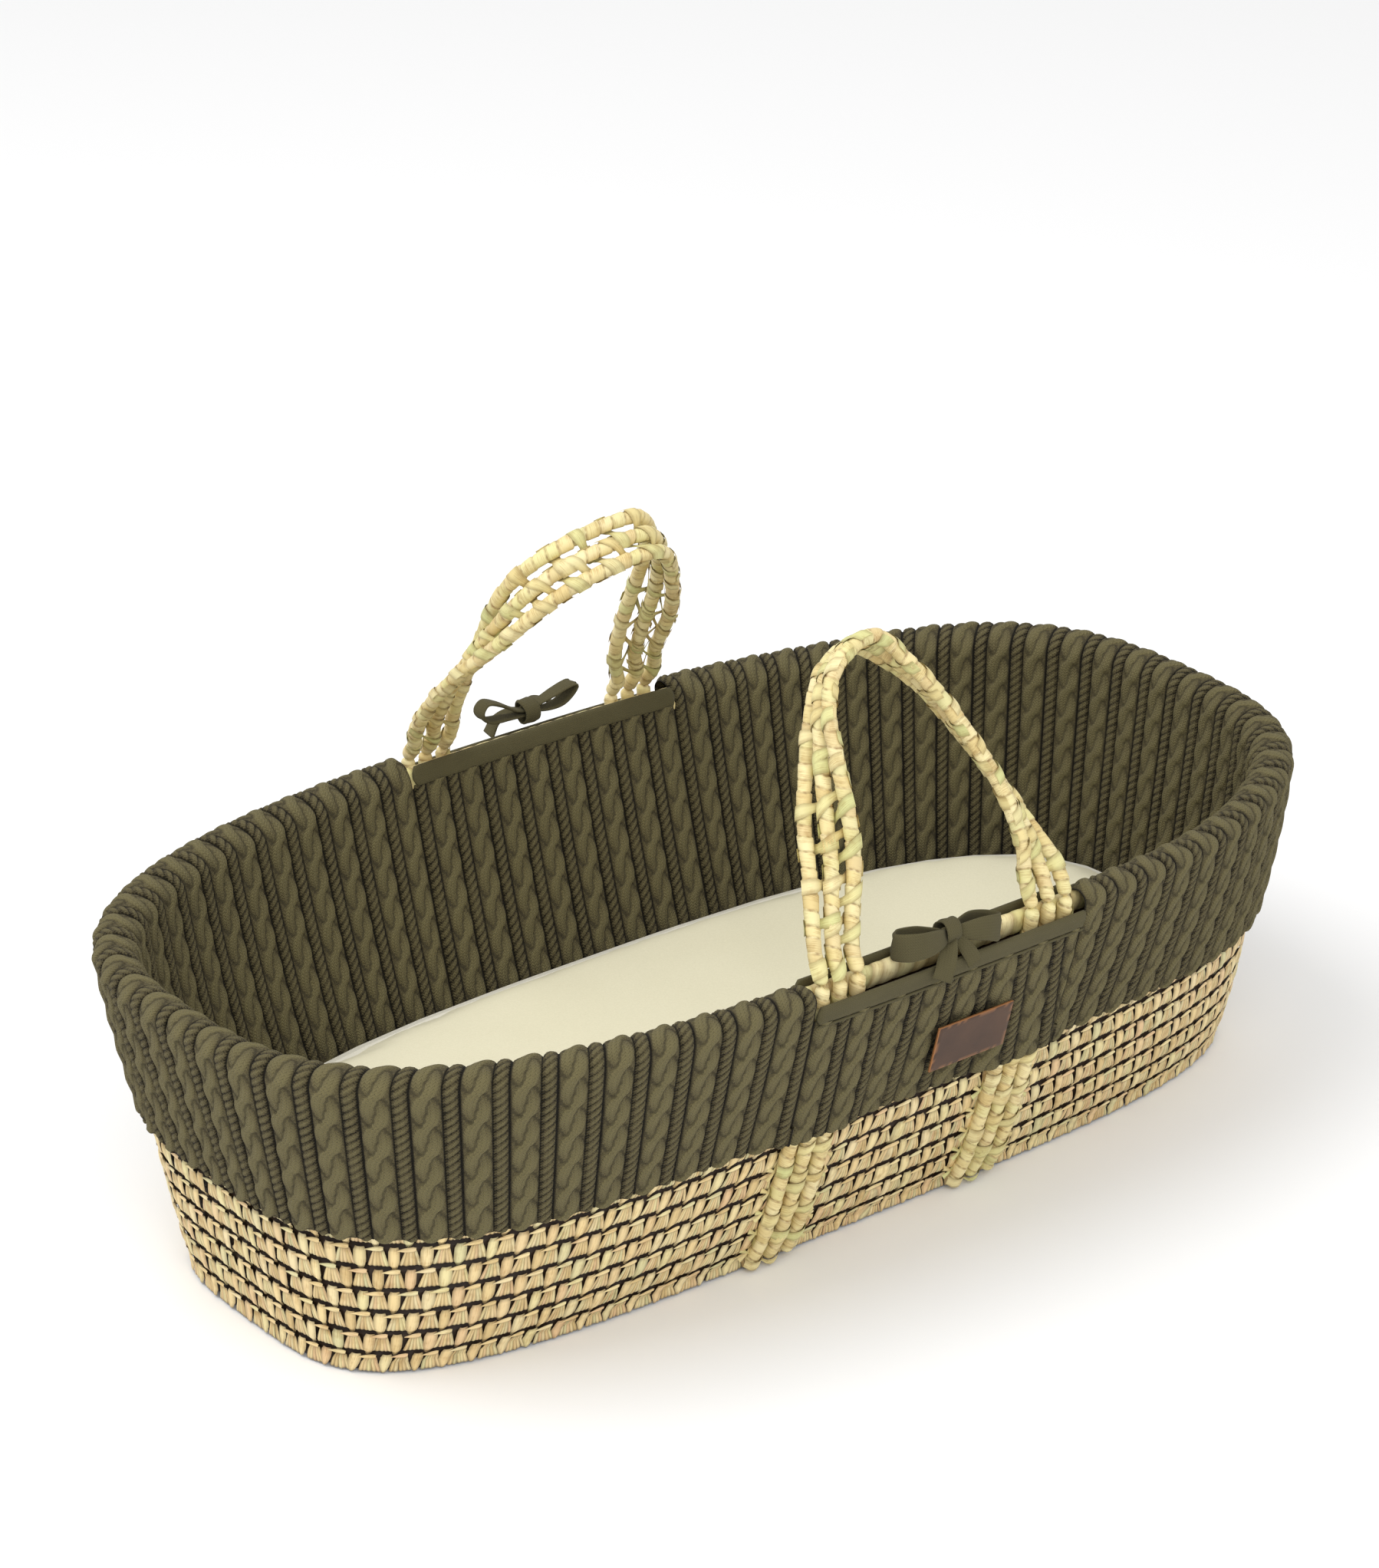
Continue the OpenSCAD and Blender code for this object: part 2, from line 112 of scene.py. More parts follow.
@dataclass
class Patchwork:
    """Gathers many small grids of points into one mesh with shared attributes."""

    points: list = field(default_factory=list)
    faces: list = field(default_factory=list)
    uvs: list = field(default_factory=list)
    tints: list = field(default_factory=list)
    count: int = 0

    def add(self, points: Array, uv: Array, tint: Array, wrap_cols: bool = False,
            wrap_rows: bool = False, flip: bool = False) -> None:
        """Add one grid.

        Args:
            points: rows by columns by 3, in metres.
            uv: rows by columns by 2, in millimetres.
            tint: one value for all, or rows by columns, or either with a last axis of 2.
            wrap_cols: whether the last column joins the first.
            wrap_rows: whether the last row joins the first.
            flip: whether to turn the faces over.
        """
        rows, cols = points.shape[:2]
        quads = grid_faces(rows, cols, wrap_cols, wrap_rows)
        if flip:
            quads = quads[:, ::-1]
        self.points.append(points.reshape(-1, 3))
        self.faces.append(quads + self.count)
        self.uvs.append(uv.reshape(-1, 2))
        tint = np.asarray(tint, dtype=float)
        if tint.ndim < 2:
            tint = np.broadcast_to(tint, (rows, cols) + tint.shape)
        if tint.ndim == 2:
            tint = np.stack([tint, np.full_like(tint, 0.5)], axis=-1)
        self.tints.append(tint.reshape(-1, 2))
        self.count += rows * cols

    def build(self, name: str, material: bpy.types.Material) -> bpy.types.Object:
        """Make the gathered grids one object.

        Args:
            name: the piece's name.
            material: its finish.

        Returns:
            The new object, at the origin.
        """
        points = np.concatenate(self.points)
        faces = np.concatenate(self.faces)
        uvs = np.concatenate(self.uvs)
        tints = np.concatenate(self.tints)
        mesh = bpy.data.meshes.new(name)
        mesh.vertices.add(len(points))
        mesh.vertices.foreach_set("co", points.astype(np.float32).ravel())
        mesh.loops.add(faces.size)
        mesh.loops.foreach_set("vertex_index", faces.astype(np.int32).ravel())
        mesh.polygons.add(len(faces))
        mesh.polygons.foreach_set("loop_start", np.arange(0, faces.size, 4, dtype=np.int32))
        mesh.update(calc_edges=True)
        mesh.validate()
        mesh.polygons.foreach_set("use_smooth", np.ones(len(mesh.polygons), dtype=bool))
        layer = mesh.uv_layers.new(name="surface_mm")
        loops = np.empty(len(mesh.loops), dtype=np.int32)
        mesh.loops.foreach_get("vertex_index", loops)
        layer.data.foreach_set("uv", (uvs[loops]).astype(np.float32).ravel())
        # tint is each piece's random tone; depth carries painted shade on knit and leaf, and the pale cut
        # edge on the leather
        for k, label in enumerate(("tint", "depth")):
            attribute = mesh.attributes.new(label, "FLOAT", "POINT")
            attribute.data.foreach_set("value", tints[:, k].astype(np.float32))
        mesh.materials.append(material)
        piece = bpy.data.objects.new(name, mesh)
        bpy.context.scene.collection.objects.link(piece)
        log.info("%s: %d faces", name, len(faces))
        return piece


def normals_of(points: Array, wrap_cols: bool = False) -> Array:
    """Work out a grid's normals, along columns cross along rows.

    Args:
        points: rows by columns by 3.
        wrap_cols: whether the last column joins the first.

    Returns:
        Unit normals, of the same shape.
    """
    if wrap_cols:
        across = np.roll(points, -1, axis=1) - np.roll(points, 1, axis=1)
    else:
        across = np.gradient(points, axis=1)
    along = np.gradient(points, axis=0)
    return unit(np.cross(across, along))


# --------------------------------------------------------------------------- the wall's form


@dataclass(frozen=True)
class WallForm:
    """The oval wall: a squared ellipse at each height, leaning out from base to rim."""

    rim_l: float
    rim_w: float
    base_l: float
    base_w: float
    base_shift: float
    first_z: float
    rim_z: float
    half_t: float = 4.5 * MM
    belly: float = 0.75
    base_square: float = 3.95
    rim_square: float = 2.87

    @classmethod
    def from_frame(cls) -> "WallForm":
        """Work out the wall's sizes from the boxes of its lowest and highest courses."""
        low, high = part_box("wall_course_01"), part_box("rim_course")
        rise = (high[0][2] + high[1][2] - low[0][2] - low[1][2]) / 2
        # a coil's flat face reaches this share of the wall's rise above its middle
        flat = 0.3 * (low[1][2] - low[0][2]) / rise
        low_l, high_l = (low[1][0] - low[0][0]) / 2, (high[1][0] - high[0][0]) / 2
        low_w, high_w = (low[1][1] - low[0][1]) / 2, (high[1][1] - high[0][1]) / 2
        wider = (high_w - low_w) / ((1 + flat) ** cls.belly - flat**cls.belly)
        base_l = low_l - cls.half_t - (high_l - low_l) * flat
        base_w = low_w - cls.half_t - wider * flat**cls.belly
        return cls(
            rim_l=base_l + high_l - low_l,
            rim_w=base_w + wider,
            base_l=base_l,
            base_w=base_w,
            base_shift=(low[0][0] + low[1][0]) / 2,
            first_z=(low[0][2] + low[1][2]) / 2,
            rim_z=(high[0][2] + high[1][2]) / 2,
        )

    def share(self, z: Array) -> Array:
        """How far up the wall a height is, from 0 at the lowest course to 1 at the rim."""
        return np.maximum(0.0, (z - self.first_z) / (self.rim_z - self.first_z))

    def halves(self, z: Array) -> tuple[Array, Array, Array, Array]:
        """Half length, half width, squareness and shift at a height."""
        t = self.share(z)
        capped = np.minimum(1.0, t)
        return (
            self.base_l + (self.rim_l - self.base_l) * t,
            self.base_w + (self.rim_w - self.base_w) * t**self.belly,
            self.base_square + (self.rim_square - self.base_square) * capped,
            self.base_shift * (1.0 - capped),
        )

    def point(self, turn: Array, off: Array, z: Array) -> Array:
        """A point of the wall.

        Args:
            turn: angle round the oval, in radians.
            off: distance out from the wall's middle line.
            z: height.

        Returns:
            Points, with a last axis of 3.
        """
        turn, off, z = np.broadcast_arrays(turn, off, z)
        half_l, half_w, power, shift = self.halves(z)
        c, s = np.cos(turn), np.sin(turn)
        x = shift + (half_l + off) * np.sign(c) * np.abs(c) ** (2.0 / power)
        y = (half_w + off) * np.sign(s) * np.abs(s) ** (2.0 / power)
        return np.stack([x, y, z], axis=-1)

    def turn_at(self, x: float, side: int, off: Array, z: Array) -> Array:
        """The angle at which the wall passes a place along the basket, on one side."""
        half_l, _, power, shift = self.halves(z)
        ratio = (x - shift) / (half_l + off)
        return side * np.arccos(np.clip(np.sign(ratio) * np.abs(ratio) ** (power / 2.0), -1, 1))

    def side_point(self, x: float, side: int, off: float, z: Array) -> Array:
        """A point on one side's wall at a place along the basket."""
        z = np.asarray(z, dtype=float)
        return self.point(self.turn_at(x, side, off, z), off, z)

    def settled(self, points: Array) -> Array:
        """Let the rim dip a little on each side, and what hangs from it wander."""
        x, y, z = points[..., 0], points[..., 1], points[..., 2]
        lift = smoothstep((z - 0.12) / 0.1)
        dip = 5.0 * MM * np.exp(-(((x - 0.25) / 0.11) ** 2)) * lift
        wander = 1.5 * MM * np.sin(x * 21.0 + 1.3) * np.cos(y * 17.0) * (1.0 - lift)
        moved = points.copy()
        moved[..., 2] += wander - dip
        return moved

    def rows(self, off: Array, z: Array, fractions: Array, start: tuple[float, int] | None = None,
             end: tuple[float, int] | None = None) -> tuple[Array, Array]:
        """Points evenly spaced along each level of a stretch of the wall.

        Args:
            off: distance out at each level.
            z: height of each level.
            fractions: places along the stretch, from 0 to 1.
            start: place along the basket and side of the stretch's start, or None for a full ring.
            end: the same for its end, anticlockwise seen from above.

        Returns:
            Points, levels by places by 3, and each level's length.
        """
        dense = 1600
        ramp = np.linspace(0.0, 1.0, dense)
        if start is None:
            first, last = np.zeros_like(z), np.full_like(z, 2 * math.pi)
        else:
            first = self.turn_at(start[0], start[1], off, z)
            last = self.turn_at(end[0], end[1], off, z)
            last = np.where(last < first, last + 2 * math.pi, last)
        turn = first[:, None] + (last - first)[:, None] * ramp
        curve = self.point(turn, off[:, None], z[:, None])
        step = np.linalg.norm(np.diff(curve, axis=1), axis=-1)
        run = np.concatenate([np.zeros((len(z), 1)), np.cumsum(step, axis=1)], axis=1)
        out = np.empty((len(z), len(fractions), 3))
        for k in range(len(z)):
            at = fractions * run[k, -1]
            for axis in range(3):
                out[k, :, axis] = np.interp(at, run[k], curve[k, :, axis])
        return out, run[:, -1]


# --------------------------------------------------------------------------- finishes


def linear(hex_colour: str) -> tuple[float, float, float, float]:
    """Turn an sRGB hex colour into linear RGBA."""
    parts = [int(hex_colour[i : i + 2], 16) / 255.0 for i in (1, 3, 5)]
    flat = [c / 12.92 if c <= 0.04045 else ((c + 0.055) / 1.055) ** 2.4 for c in parts]
    return (*flat, 1.0)


def feed(node: bpy.types.Node, links: dict) -> None:
    """Set or link a node's inputs.

    Args:
        node: the node.
        links: socket name or number to a value, a socket, or a node whose first live output is taken.
    """
    for key, value in links.items():
        if isinstance(value, bpy.types.Node):
            value = next(socket for socket in value.outputs if socket.enabled)
        if isinstance(value, bpy.types.NodeSocket):
            node.id_data.links.new(value, node.inputs[key])
        else:
            node.inputs[key].default_value = value


def add_node(material: bpy.types.Material, kind: str, links: dict | None = None,
             stops: tuple = (), **settings: object) -> bpy.types.Node:
    """Add one shader node with its settings and links.

    Args:
        material: the material it belongs to.
        kind: the node's type.
        links: what its inputs take, as in feed.
        stops: places and hex colours along its colour ramp, if it has one.
        settings: properties to set on it.

    Returns:
        The new node.
    """
    node = material.node_tree.nodes.new(f"ShaderNode{kind}")
    for key, value in settings.items():
        setattr(node, key, value)
    feed(node, links or {})
    for _ in stops[2:]:
        node.color_ramp.elements.new(0.5)
    for index, (place, colour) in enumerate(stops):
        node.color_ramp.elements[index].position = place
        node.color_ramp.elements[index].color = linear(colour)
    return node


def new_material(name: str) -> tuple[bpy.types.Material, bpy.types.Node]:
    """Start a material and give it with its surface shader."""
    material = bpy.data.materials.new(name)
    material.use_nodes = True
    return material, material.node_tree.nodes["Principled BSDF"]


@dataclass(frozen=True)
class KnitFinish:
    """Dyed cotton yarn in stocking stitch: matt, with fine columns of stitches, painted shade in the hollows
    and grooves and painted light on the crests.
    """

    name: str
    # hollow is the painted shade colour of the deepest places, yarn the dyed colour, crest the painted light
    # colour of the highest places
    hollow: str
    yarn: str
    crest: str
    stitch_w: float = 3.0
    stitch_h: float = 2.0
    bump: float = 0.7

    def build(self) -> bpy.types.Material:
        """Make the material; the UV map holds millimetres across and along the stitches."""
        m, shader = new_material(self.name)
        uv = add_node(m, "UVMap", uv_map="surface_mm")
        place = add_node(m, "SeparateXYZ", {0: uv})
        column = add_node(m, "Math", {0: place.outputs[0], 1: self.stitch_w}, operation="DIVIDE")
        part = add_node(m, "Math", {0: column}, operation="FRACT")
        side = add_node(m, "Math", {0: part, 1: 0.5}, operation="SUBTRACT")
        slope = add_node(m, "Math", {0: side}, operation="ABSOLUTE")
        row = add_node(m, "Math", {0: place.outputs[1], 1: self.stitch_h}, operation="DIVIDE")
        # each stitch is a V, so its rows climb away from the column's middle
        rise = add_node(m, "Math", {0: slope, 1: 1.5, 2: row}, operation="MULTIPLY_ADD")
        turn = add_node(m, "Math", {0: rise, 1: 2 * math.pi}, operation="MULTIPLY")
        wave = add_node(m, "Math", {0: turn}, operation="SINE")
        wide = add_node(m, "Math", {0: slope, 1: 2.0}, operation="MULTIPLY")
        groove = add_node(m, "Math", {0: wide, 1: 7.0}, operation="POWER")
        stitch = add_node(m, "Math", {0: groove, 1: -1.3, 2: wave}, operation="MULTIPLY_ADD")
        ground = add_node(m, "TexCoord").outputs["Object"]
        fuzz = add_node(m, "TexNoise", {"Vector": ground, "Scale": 1100.0, "Detail": 3.0, "Roughness": 0.65})
        wear = add_node(m, "TexNoise", {"Vector": ground, "Scale": 34.0, "Detail": 3.0})
        height = add_node(m, "Math", {0: fuzz, 1: 1.6, 2: stitch}, operation="MULTIPLY_ADD")
        depth = add_node(m, "Attribute", attribute_name="depth").outputs["Fac"]
        marked = add_node(m, "Math", {0: height, 1: 0.09, 2: depth}, operation="MULTIPLY_ADD")
        patchy = add_node(m, "Math", {0: wear, 1: 0.3, 2: marked}, operation="MULTIPLY_ADD")
        level = add_node(m, "Math", {0: patchy, 1: 0.23}, operation="SUBTRACT")
        # the colour follows the relief: painted shade darkens the grooves between stitch columns, the hollows
        # and the creases marked in depth, and painted light lightens the crests; the fuzz and wear noise vary
        # the yarn's tone at random
        colour = add_node(m, "ValToRGB", {0: level},
                          ((0.08, self.hollow), (0.42, self.yarn), (0.95, self.crest)))
        bump = add_node(m, "Bump", {"Strength": self.bump, "Distance": 0.0005, "Height": height})
        feed(shader, {"Base Color": colour, "Normal": bump, "Roughness": 0.95, "Specular IOR Level": 0.1,
                      "Sheen Weight": 0.04, "Sheen Roughness": 0.6})
        return m


@dataclass(frozen=True)
class LeafFinish:
    """Dried palm leaf, split in flat strips: satin, finely ribbed along its length, uneven in colour."""

    name: str
    palette: tuple[str, ...]
    shade: str
    rib: float = 0.55
    gloss: float = 0.55

    def build(self) -> bpy.types.Material:
        """Make the material; the UV map holds millimetres across and along each strip."""
        m, shader = new_material(self.name)
        uv = add_node(m, "UVMap", uv_map="surface_mm")
        stretch = add_node(m, "Mapping", {"Vector": uv, "Scale": (1.0 / self.rib, 0.05, 1.0)})
        streak = add_node(m, "TexNoise", {"Vector": stretch, "Scale": 1.0, "Detail": 3.0, "Roughness": 0.6})
        ground = add_node(m, "TexCoord").outputs["Object"]
        blotch = add_node(m, "TexNoise", {"Vector": ground, "Scale": 130.0, "Detail": 3.0})
        tint = add_node(m, "Attribute", attribute_name="tint").outputs["Fac"]
        depth = add_node(m, "Attribute", attribute_name="depth").outputs["Fac"]
        spread = tuple((i / (len(self.palette) - 1), c) for i, c in enumerate(self.palette))
        base = add_node(m, "ValToRGB", {0: tint}, spread)
        spots = add_node(m, "Math", {0: blotch, 1: 0.5}, operation="MULTIPLY")
        wear = add_node(m, "Math", {0: streak, 1: 0.6, 2: spots}, operation="MULTIPLY_ADD")
        mottle = add_node(m, "ValToRGB", {0: wear}, ((0.34, "#b89a6c"), (0.56, "#ffffff")))
        dyed = add_node(m, "Mix", {0: 0.8, 6: base, 7: mottle}, data_type="RGBA", blend_type="MULTIPLY")
        # painted shade: where the depth attribute falls, at strip edges, ends and wrap joints, the colour is
        # mixed towards the shade colour
        edge = add_node(m, "Math", {0: 1.0, 1: depth}, operation="SUBTRACT")
        colour = add_node(m, "Mix", {0: edge, 6: dyed, 7: linear(self.shade)}, data_type="RGBA")
        bump = add_node(m, "Bump", {"Strength": 0.4, "Distance": 0.0004, "Height": streak})
        feed(shader, {"Base Color": colour, "Normal": bump, "Roughness": self.gloss,
                      "Specular IOR Level": 0.35})
        return m


@dataclass(frozen=True)
class ClothFinish:
    """Fine cotton jersey or drill: matt, with the thread just showing and a faint unevenness."""

    name: str
    low: str
    high: str
    thread: float = 1.1
    bump: float = 0.25

    def build(self) -> bpy.types.Material:
        """Make the material from Object coordinates."""
        m, shader = new_material(self.name)
        ground = add_node(m, "TexCoord").outputs["Object"]
        scale = 1.0 / (self.thread * MM)
        fine = add_node(m, "TexNoise", {"Vector": ground, "Scale": scale, "Detail": 2.0, "Roughness": 0.7})
        broad = add_node(m, "TexNoise", {"Vector": ground, "Scale": 9.0, "Detail": 2.0})
        slow = add_node(m, "Math", {0: broad, 1: 0.4}, operation="MULTIPLY")
        level = add_node(m, "Math", {0: fine, 1: 0.6, 2: slow}, operation="MULTIPLY_ADD")
        colour = add_node(m, "ValToRGB", {0: level}, ((0.3, self.low), (0.7, self.high)))
        bump = add_node(m, "Bump", {"Strength": self.bump, "Distance": 0.0003, "Height": fine})
        feed(shader, {"Base Color": colour, "Normal": bump, "Roughness": 0.9, "Specular IOR Level": 0.2,
                      "Sheen Weight": 0.05, "Sheen Roughness": 0.5})
        return m


@dataclass(frozen=True)
class LeatherFinish:
    """Vegetable-tanned leather: a smooth grain face, with the cut edge left pale."""

    name: str = "tanned_leather"
    face: str = "#432e21"
    worn: str = "#523928"
    edge: str = "#b0794c"

    def build(self) -> bpy.types.Material:
        """Make the material; the depth attribute is 1 on the face and 0 on the cut edge."""
        m, shader = new_material(self.name)
        ground = add_node(m, "TexCoord").outputs["Object"]
        grain = add_node(m, "TexVoronoi", {"Vector": ground, "Scale": 900.0})
        cloud = add_node(m, "TexNoise", {"Vector": ground, "Scale": 60.0, "Detail": 4.0})
        skin = add_node(m, "ValToRGB", {0: cloud}, ((0.3, self.face), (0.75, self.worn)))
        depth = add_node(m, "Attribute", attribute_name="depth").outputs["Fac"]
        colour = add_node(m, "Mix", {0: depth, 6: linear(self.edge), 7: skin}, data_type="RGBA")
        bump = add_node(m, "Bump", {"Strength": 0.2, "Distance": 0.0002, "Height": grain})
        feed(shader, {"Base Color": colour, "Normal": bump, "Roughness": 0.5, "Specular IOR Level": 0.4})
        return m


LEAF_PALETTE = ("#d6bb84", "#eed59c", "#e4c894", "#f2dfa8", "#e3c193", "#e8dba2", "#efdbab", "#d6cf9c")
CORD_PALETTE = ("#d9c184", "#ecdba2", "#e2cf92", "#f0e2ae", "#dcc690", "#e2d99a", "#eedfaa", "#d8d296")
LACE_PALETTE = ("#d9d094", "#cfd090", "#e6d89c", "#dcc98c", "#e9dca8", "#d2c98c")


class Finishes:
    """Every finish on the basket, made once."""

    def __init__(self) -> None:
        """Build the materials."""
        # the knit's and the tape's first colour is painted shade for the hollows, their last painted light
        # for the crests
        self.knit = KnitFinish("olive_cotton_cable_knit", "#1c180c", "#574f37", "#706848").build()
        self.tape = KnitFinish("olive_cotton_jersey", "#35321c", "#554f37", "#635d41",
                               stitch_w=1.8, stitch_h=1.5, bump=0.35).build()
        # each leaf finish's last colour is the painted shade its strips darken to at their edges and ends
        self.leaf = LeafFinish("coiled_palm_leaf", LEAF_PALETTE, "#4a3620").build()
        self.cord = LeafFinish("wrapped_palm_leaf_cord", CORD_PALETTE, "#7a5226").build()
        self.lace = LeafFinish("split_palm_leaf_lacing", LACE_PALETTE, "#7d6232").build()
        # the core's dark browns are painted shade for the gaps between the strips, where the core shows
        # through
        self.core = LeafFinish("leaf_core_painted_shade", ("#57432a", "#695233"), "#2c1d0f").build()
        self.panel = LeafFinish("coiled_leaf_panel", ("#c9ab70", "#d8bb80"), "#6b4722").build()
        self.sheet = ClothFinish("cream_cotton_jersey", "#dfd9bb", "#eae4c8").build()
        self.quilt = ClothFinish("quilted_cotton_drill", "#ddd8c6", "#ece8da", thread=0.9).build()
        self.elastic = ClothFinish("woven_elastic", "#d8d4c6", "#eae7dc", thread=0.8).build()
        self.lining = ClothFinish("olive_cotton_drill", "#3f3c28", "#525036", thread=0.9).build()
        self.leather = LeatherFinish().build()


# --------------------------------------------------------------------------- the knitted liner


@dataclass(frozen=True)
class CablePattern:
    """The knit's relief: two-strand cables with a ropy ladder between, in millimetres."""

    period: float = 29.0
    cable_mid: float = 9.4
    cable_half: float = 9.0
    strand_swing: float = 4.2
    strand_r: float = 5.0
    strand_rise: float = 1.9
    twist_len: float = 42.0
    crossing: float = 0.6
    cable_gain: float = 0.5
    ladder_mid: float = 23.9
    ladder_half: float = 4.3
    ladder_pitch: float = 5.6
    ladder_high: float = 1.8
    hollow: float = -1.3
    steps: tuple[float, ...] = (0.3, 1.2, 2.8, 4.4, 6.0, 7.6, 9.2, 10.8, 12.4, 14.0, 15.6, 17.2,
                                18.2, 19.0, 19.8, 21.6, 23.9, 26.2, 27.9, 28.6)

    def columns(self, periods: float) -> Array:
        """Places across the cloth, in millimetres, denser where the relief turns."""
        marks = [k * self.period + s for k in range(math.ceil(periods)) for s in self.steps]
        end = periods * self.period
        return np.array([0.0] + [m for m in marks if 0.15 < m < end - 0.15] + [end])

    def relief(self, across: Array, along: Array) -> tuple[Array, Array, Array]:
        """The height of the cloth and the run of its stitches.

        Args:
            across: millimetres across the cloth.
            along: millimetres along it.

        Returns:
            Height in metres, a depth mark from 0 to 1 that paints shade into the hollows and creases, and
            stitch coordinates in millimetres.
        """
        across, along = np.broadcast_arrays(across, along)
        place = np.mod(across, self.period)
        x = place - self.cable_mid
        phase = 2 * math.pi * along / self.twist_len
        heights, sides = [], []
        for turn in (0.0, math.pi):
            swing = np.sin(phase + turn)
            centre = -self.strand_swing * np.sign(swing) * np.abs(swing) ** self.crossing
            rise = self.strand_rise * np.cos(phase + turn)
            dome = np.sqrt(np.maximum(self.strand_r**2 - (x - centre) ** 2, 0.0))
            heights.append(rise + dome - 2.6)
            sides.append(x - centre)
        top = heights[0] > heights[1]
        cable = np.maximum(self.cable_gain * np.where(top, heights[0], heights[1]), -1.0)
        yarn_across = np.where(top, sides[0], sides[1] + 42.0) + 1.5
        gap = np.abs(heights[0] - heights[1])
        crease = np.exp(-gap / 0.45)
        y = (place - self.ladder_mid) / self.ladder_half
        body = np.sqrt(np.maximum(1.0 - y * y, 0.0))
        rung = np.abs(np.sin(math.pi * (along / self.ladder_pitch + 0.55 * y)))
        ladder = -0.8 + self.ladder_high * body * (0.3 + 0.85 * rung**0.6)
        in_cable = np.abs(x) < self.cable_half
        in_ladder = np.abs(y) < 1.0
        high = np.where(in_cable, cable, np.where(in_ladder, ladder, self.hollow))
        # painted shade: the mark falls in the hollows, in the crease where two strands cross and between the
        # ladder's rungs, and rises on the strands' tops
        mark = np.clip((high - self.hollow) / 2.9, 0.0, 1.0)
        mark = np.where(in_cable, 0.25 + 0.75 * mark * (1.0 - 0.6 * crease), mark * (0.3 + 0.7 * rung))
        stitch = np.stack([np.where(in_cable, yarn_across, y * self.ladder_half + 81.5), along], axis=-1)
        return high * MM, mark, stitch


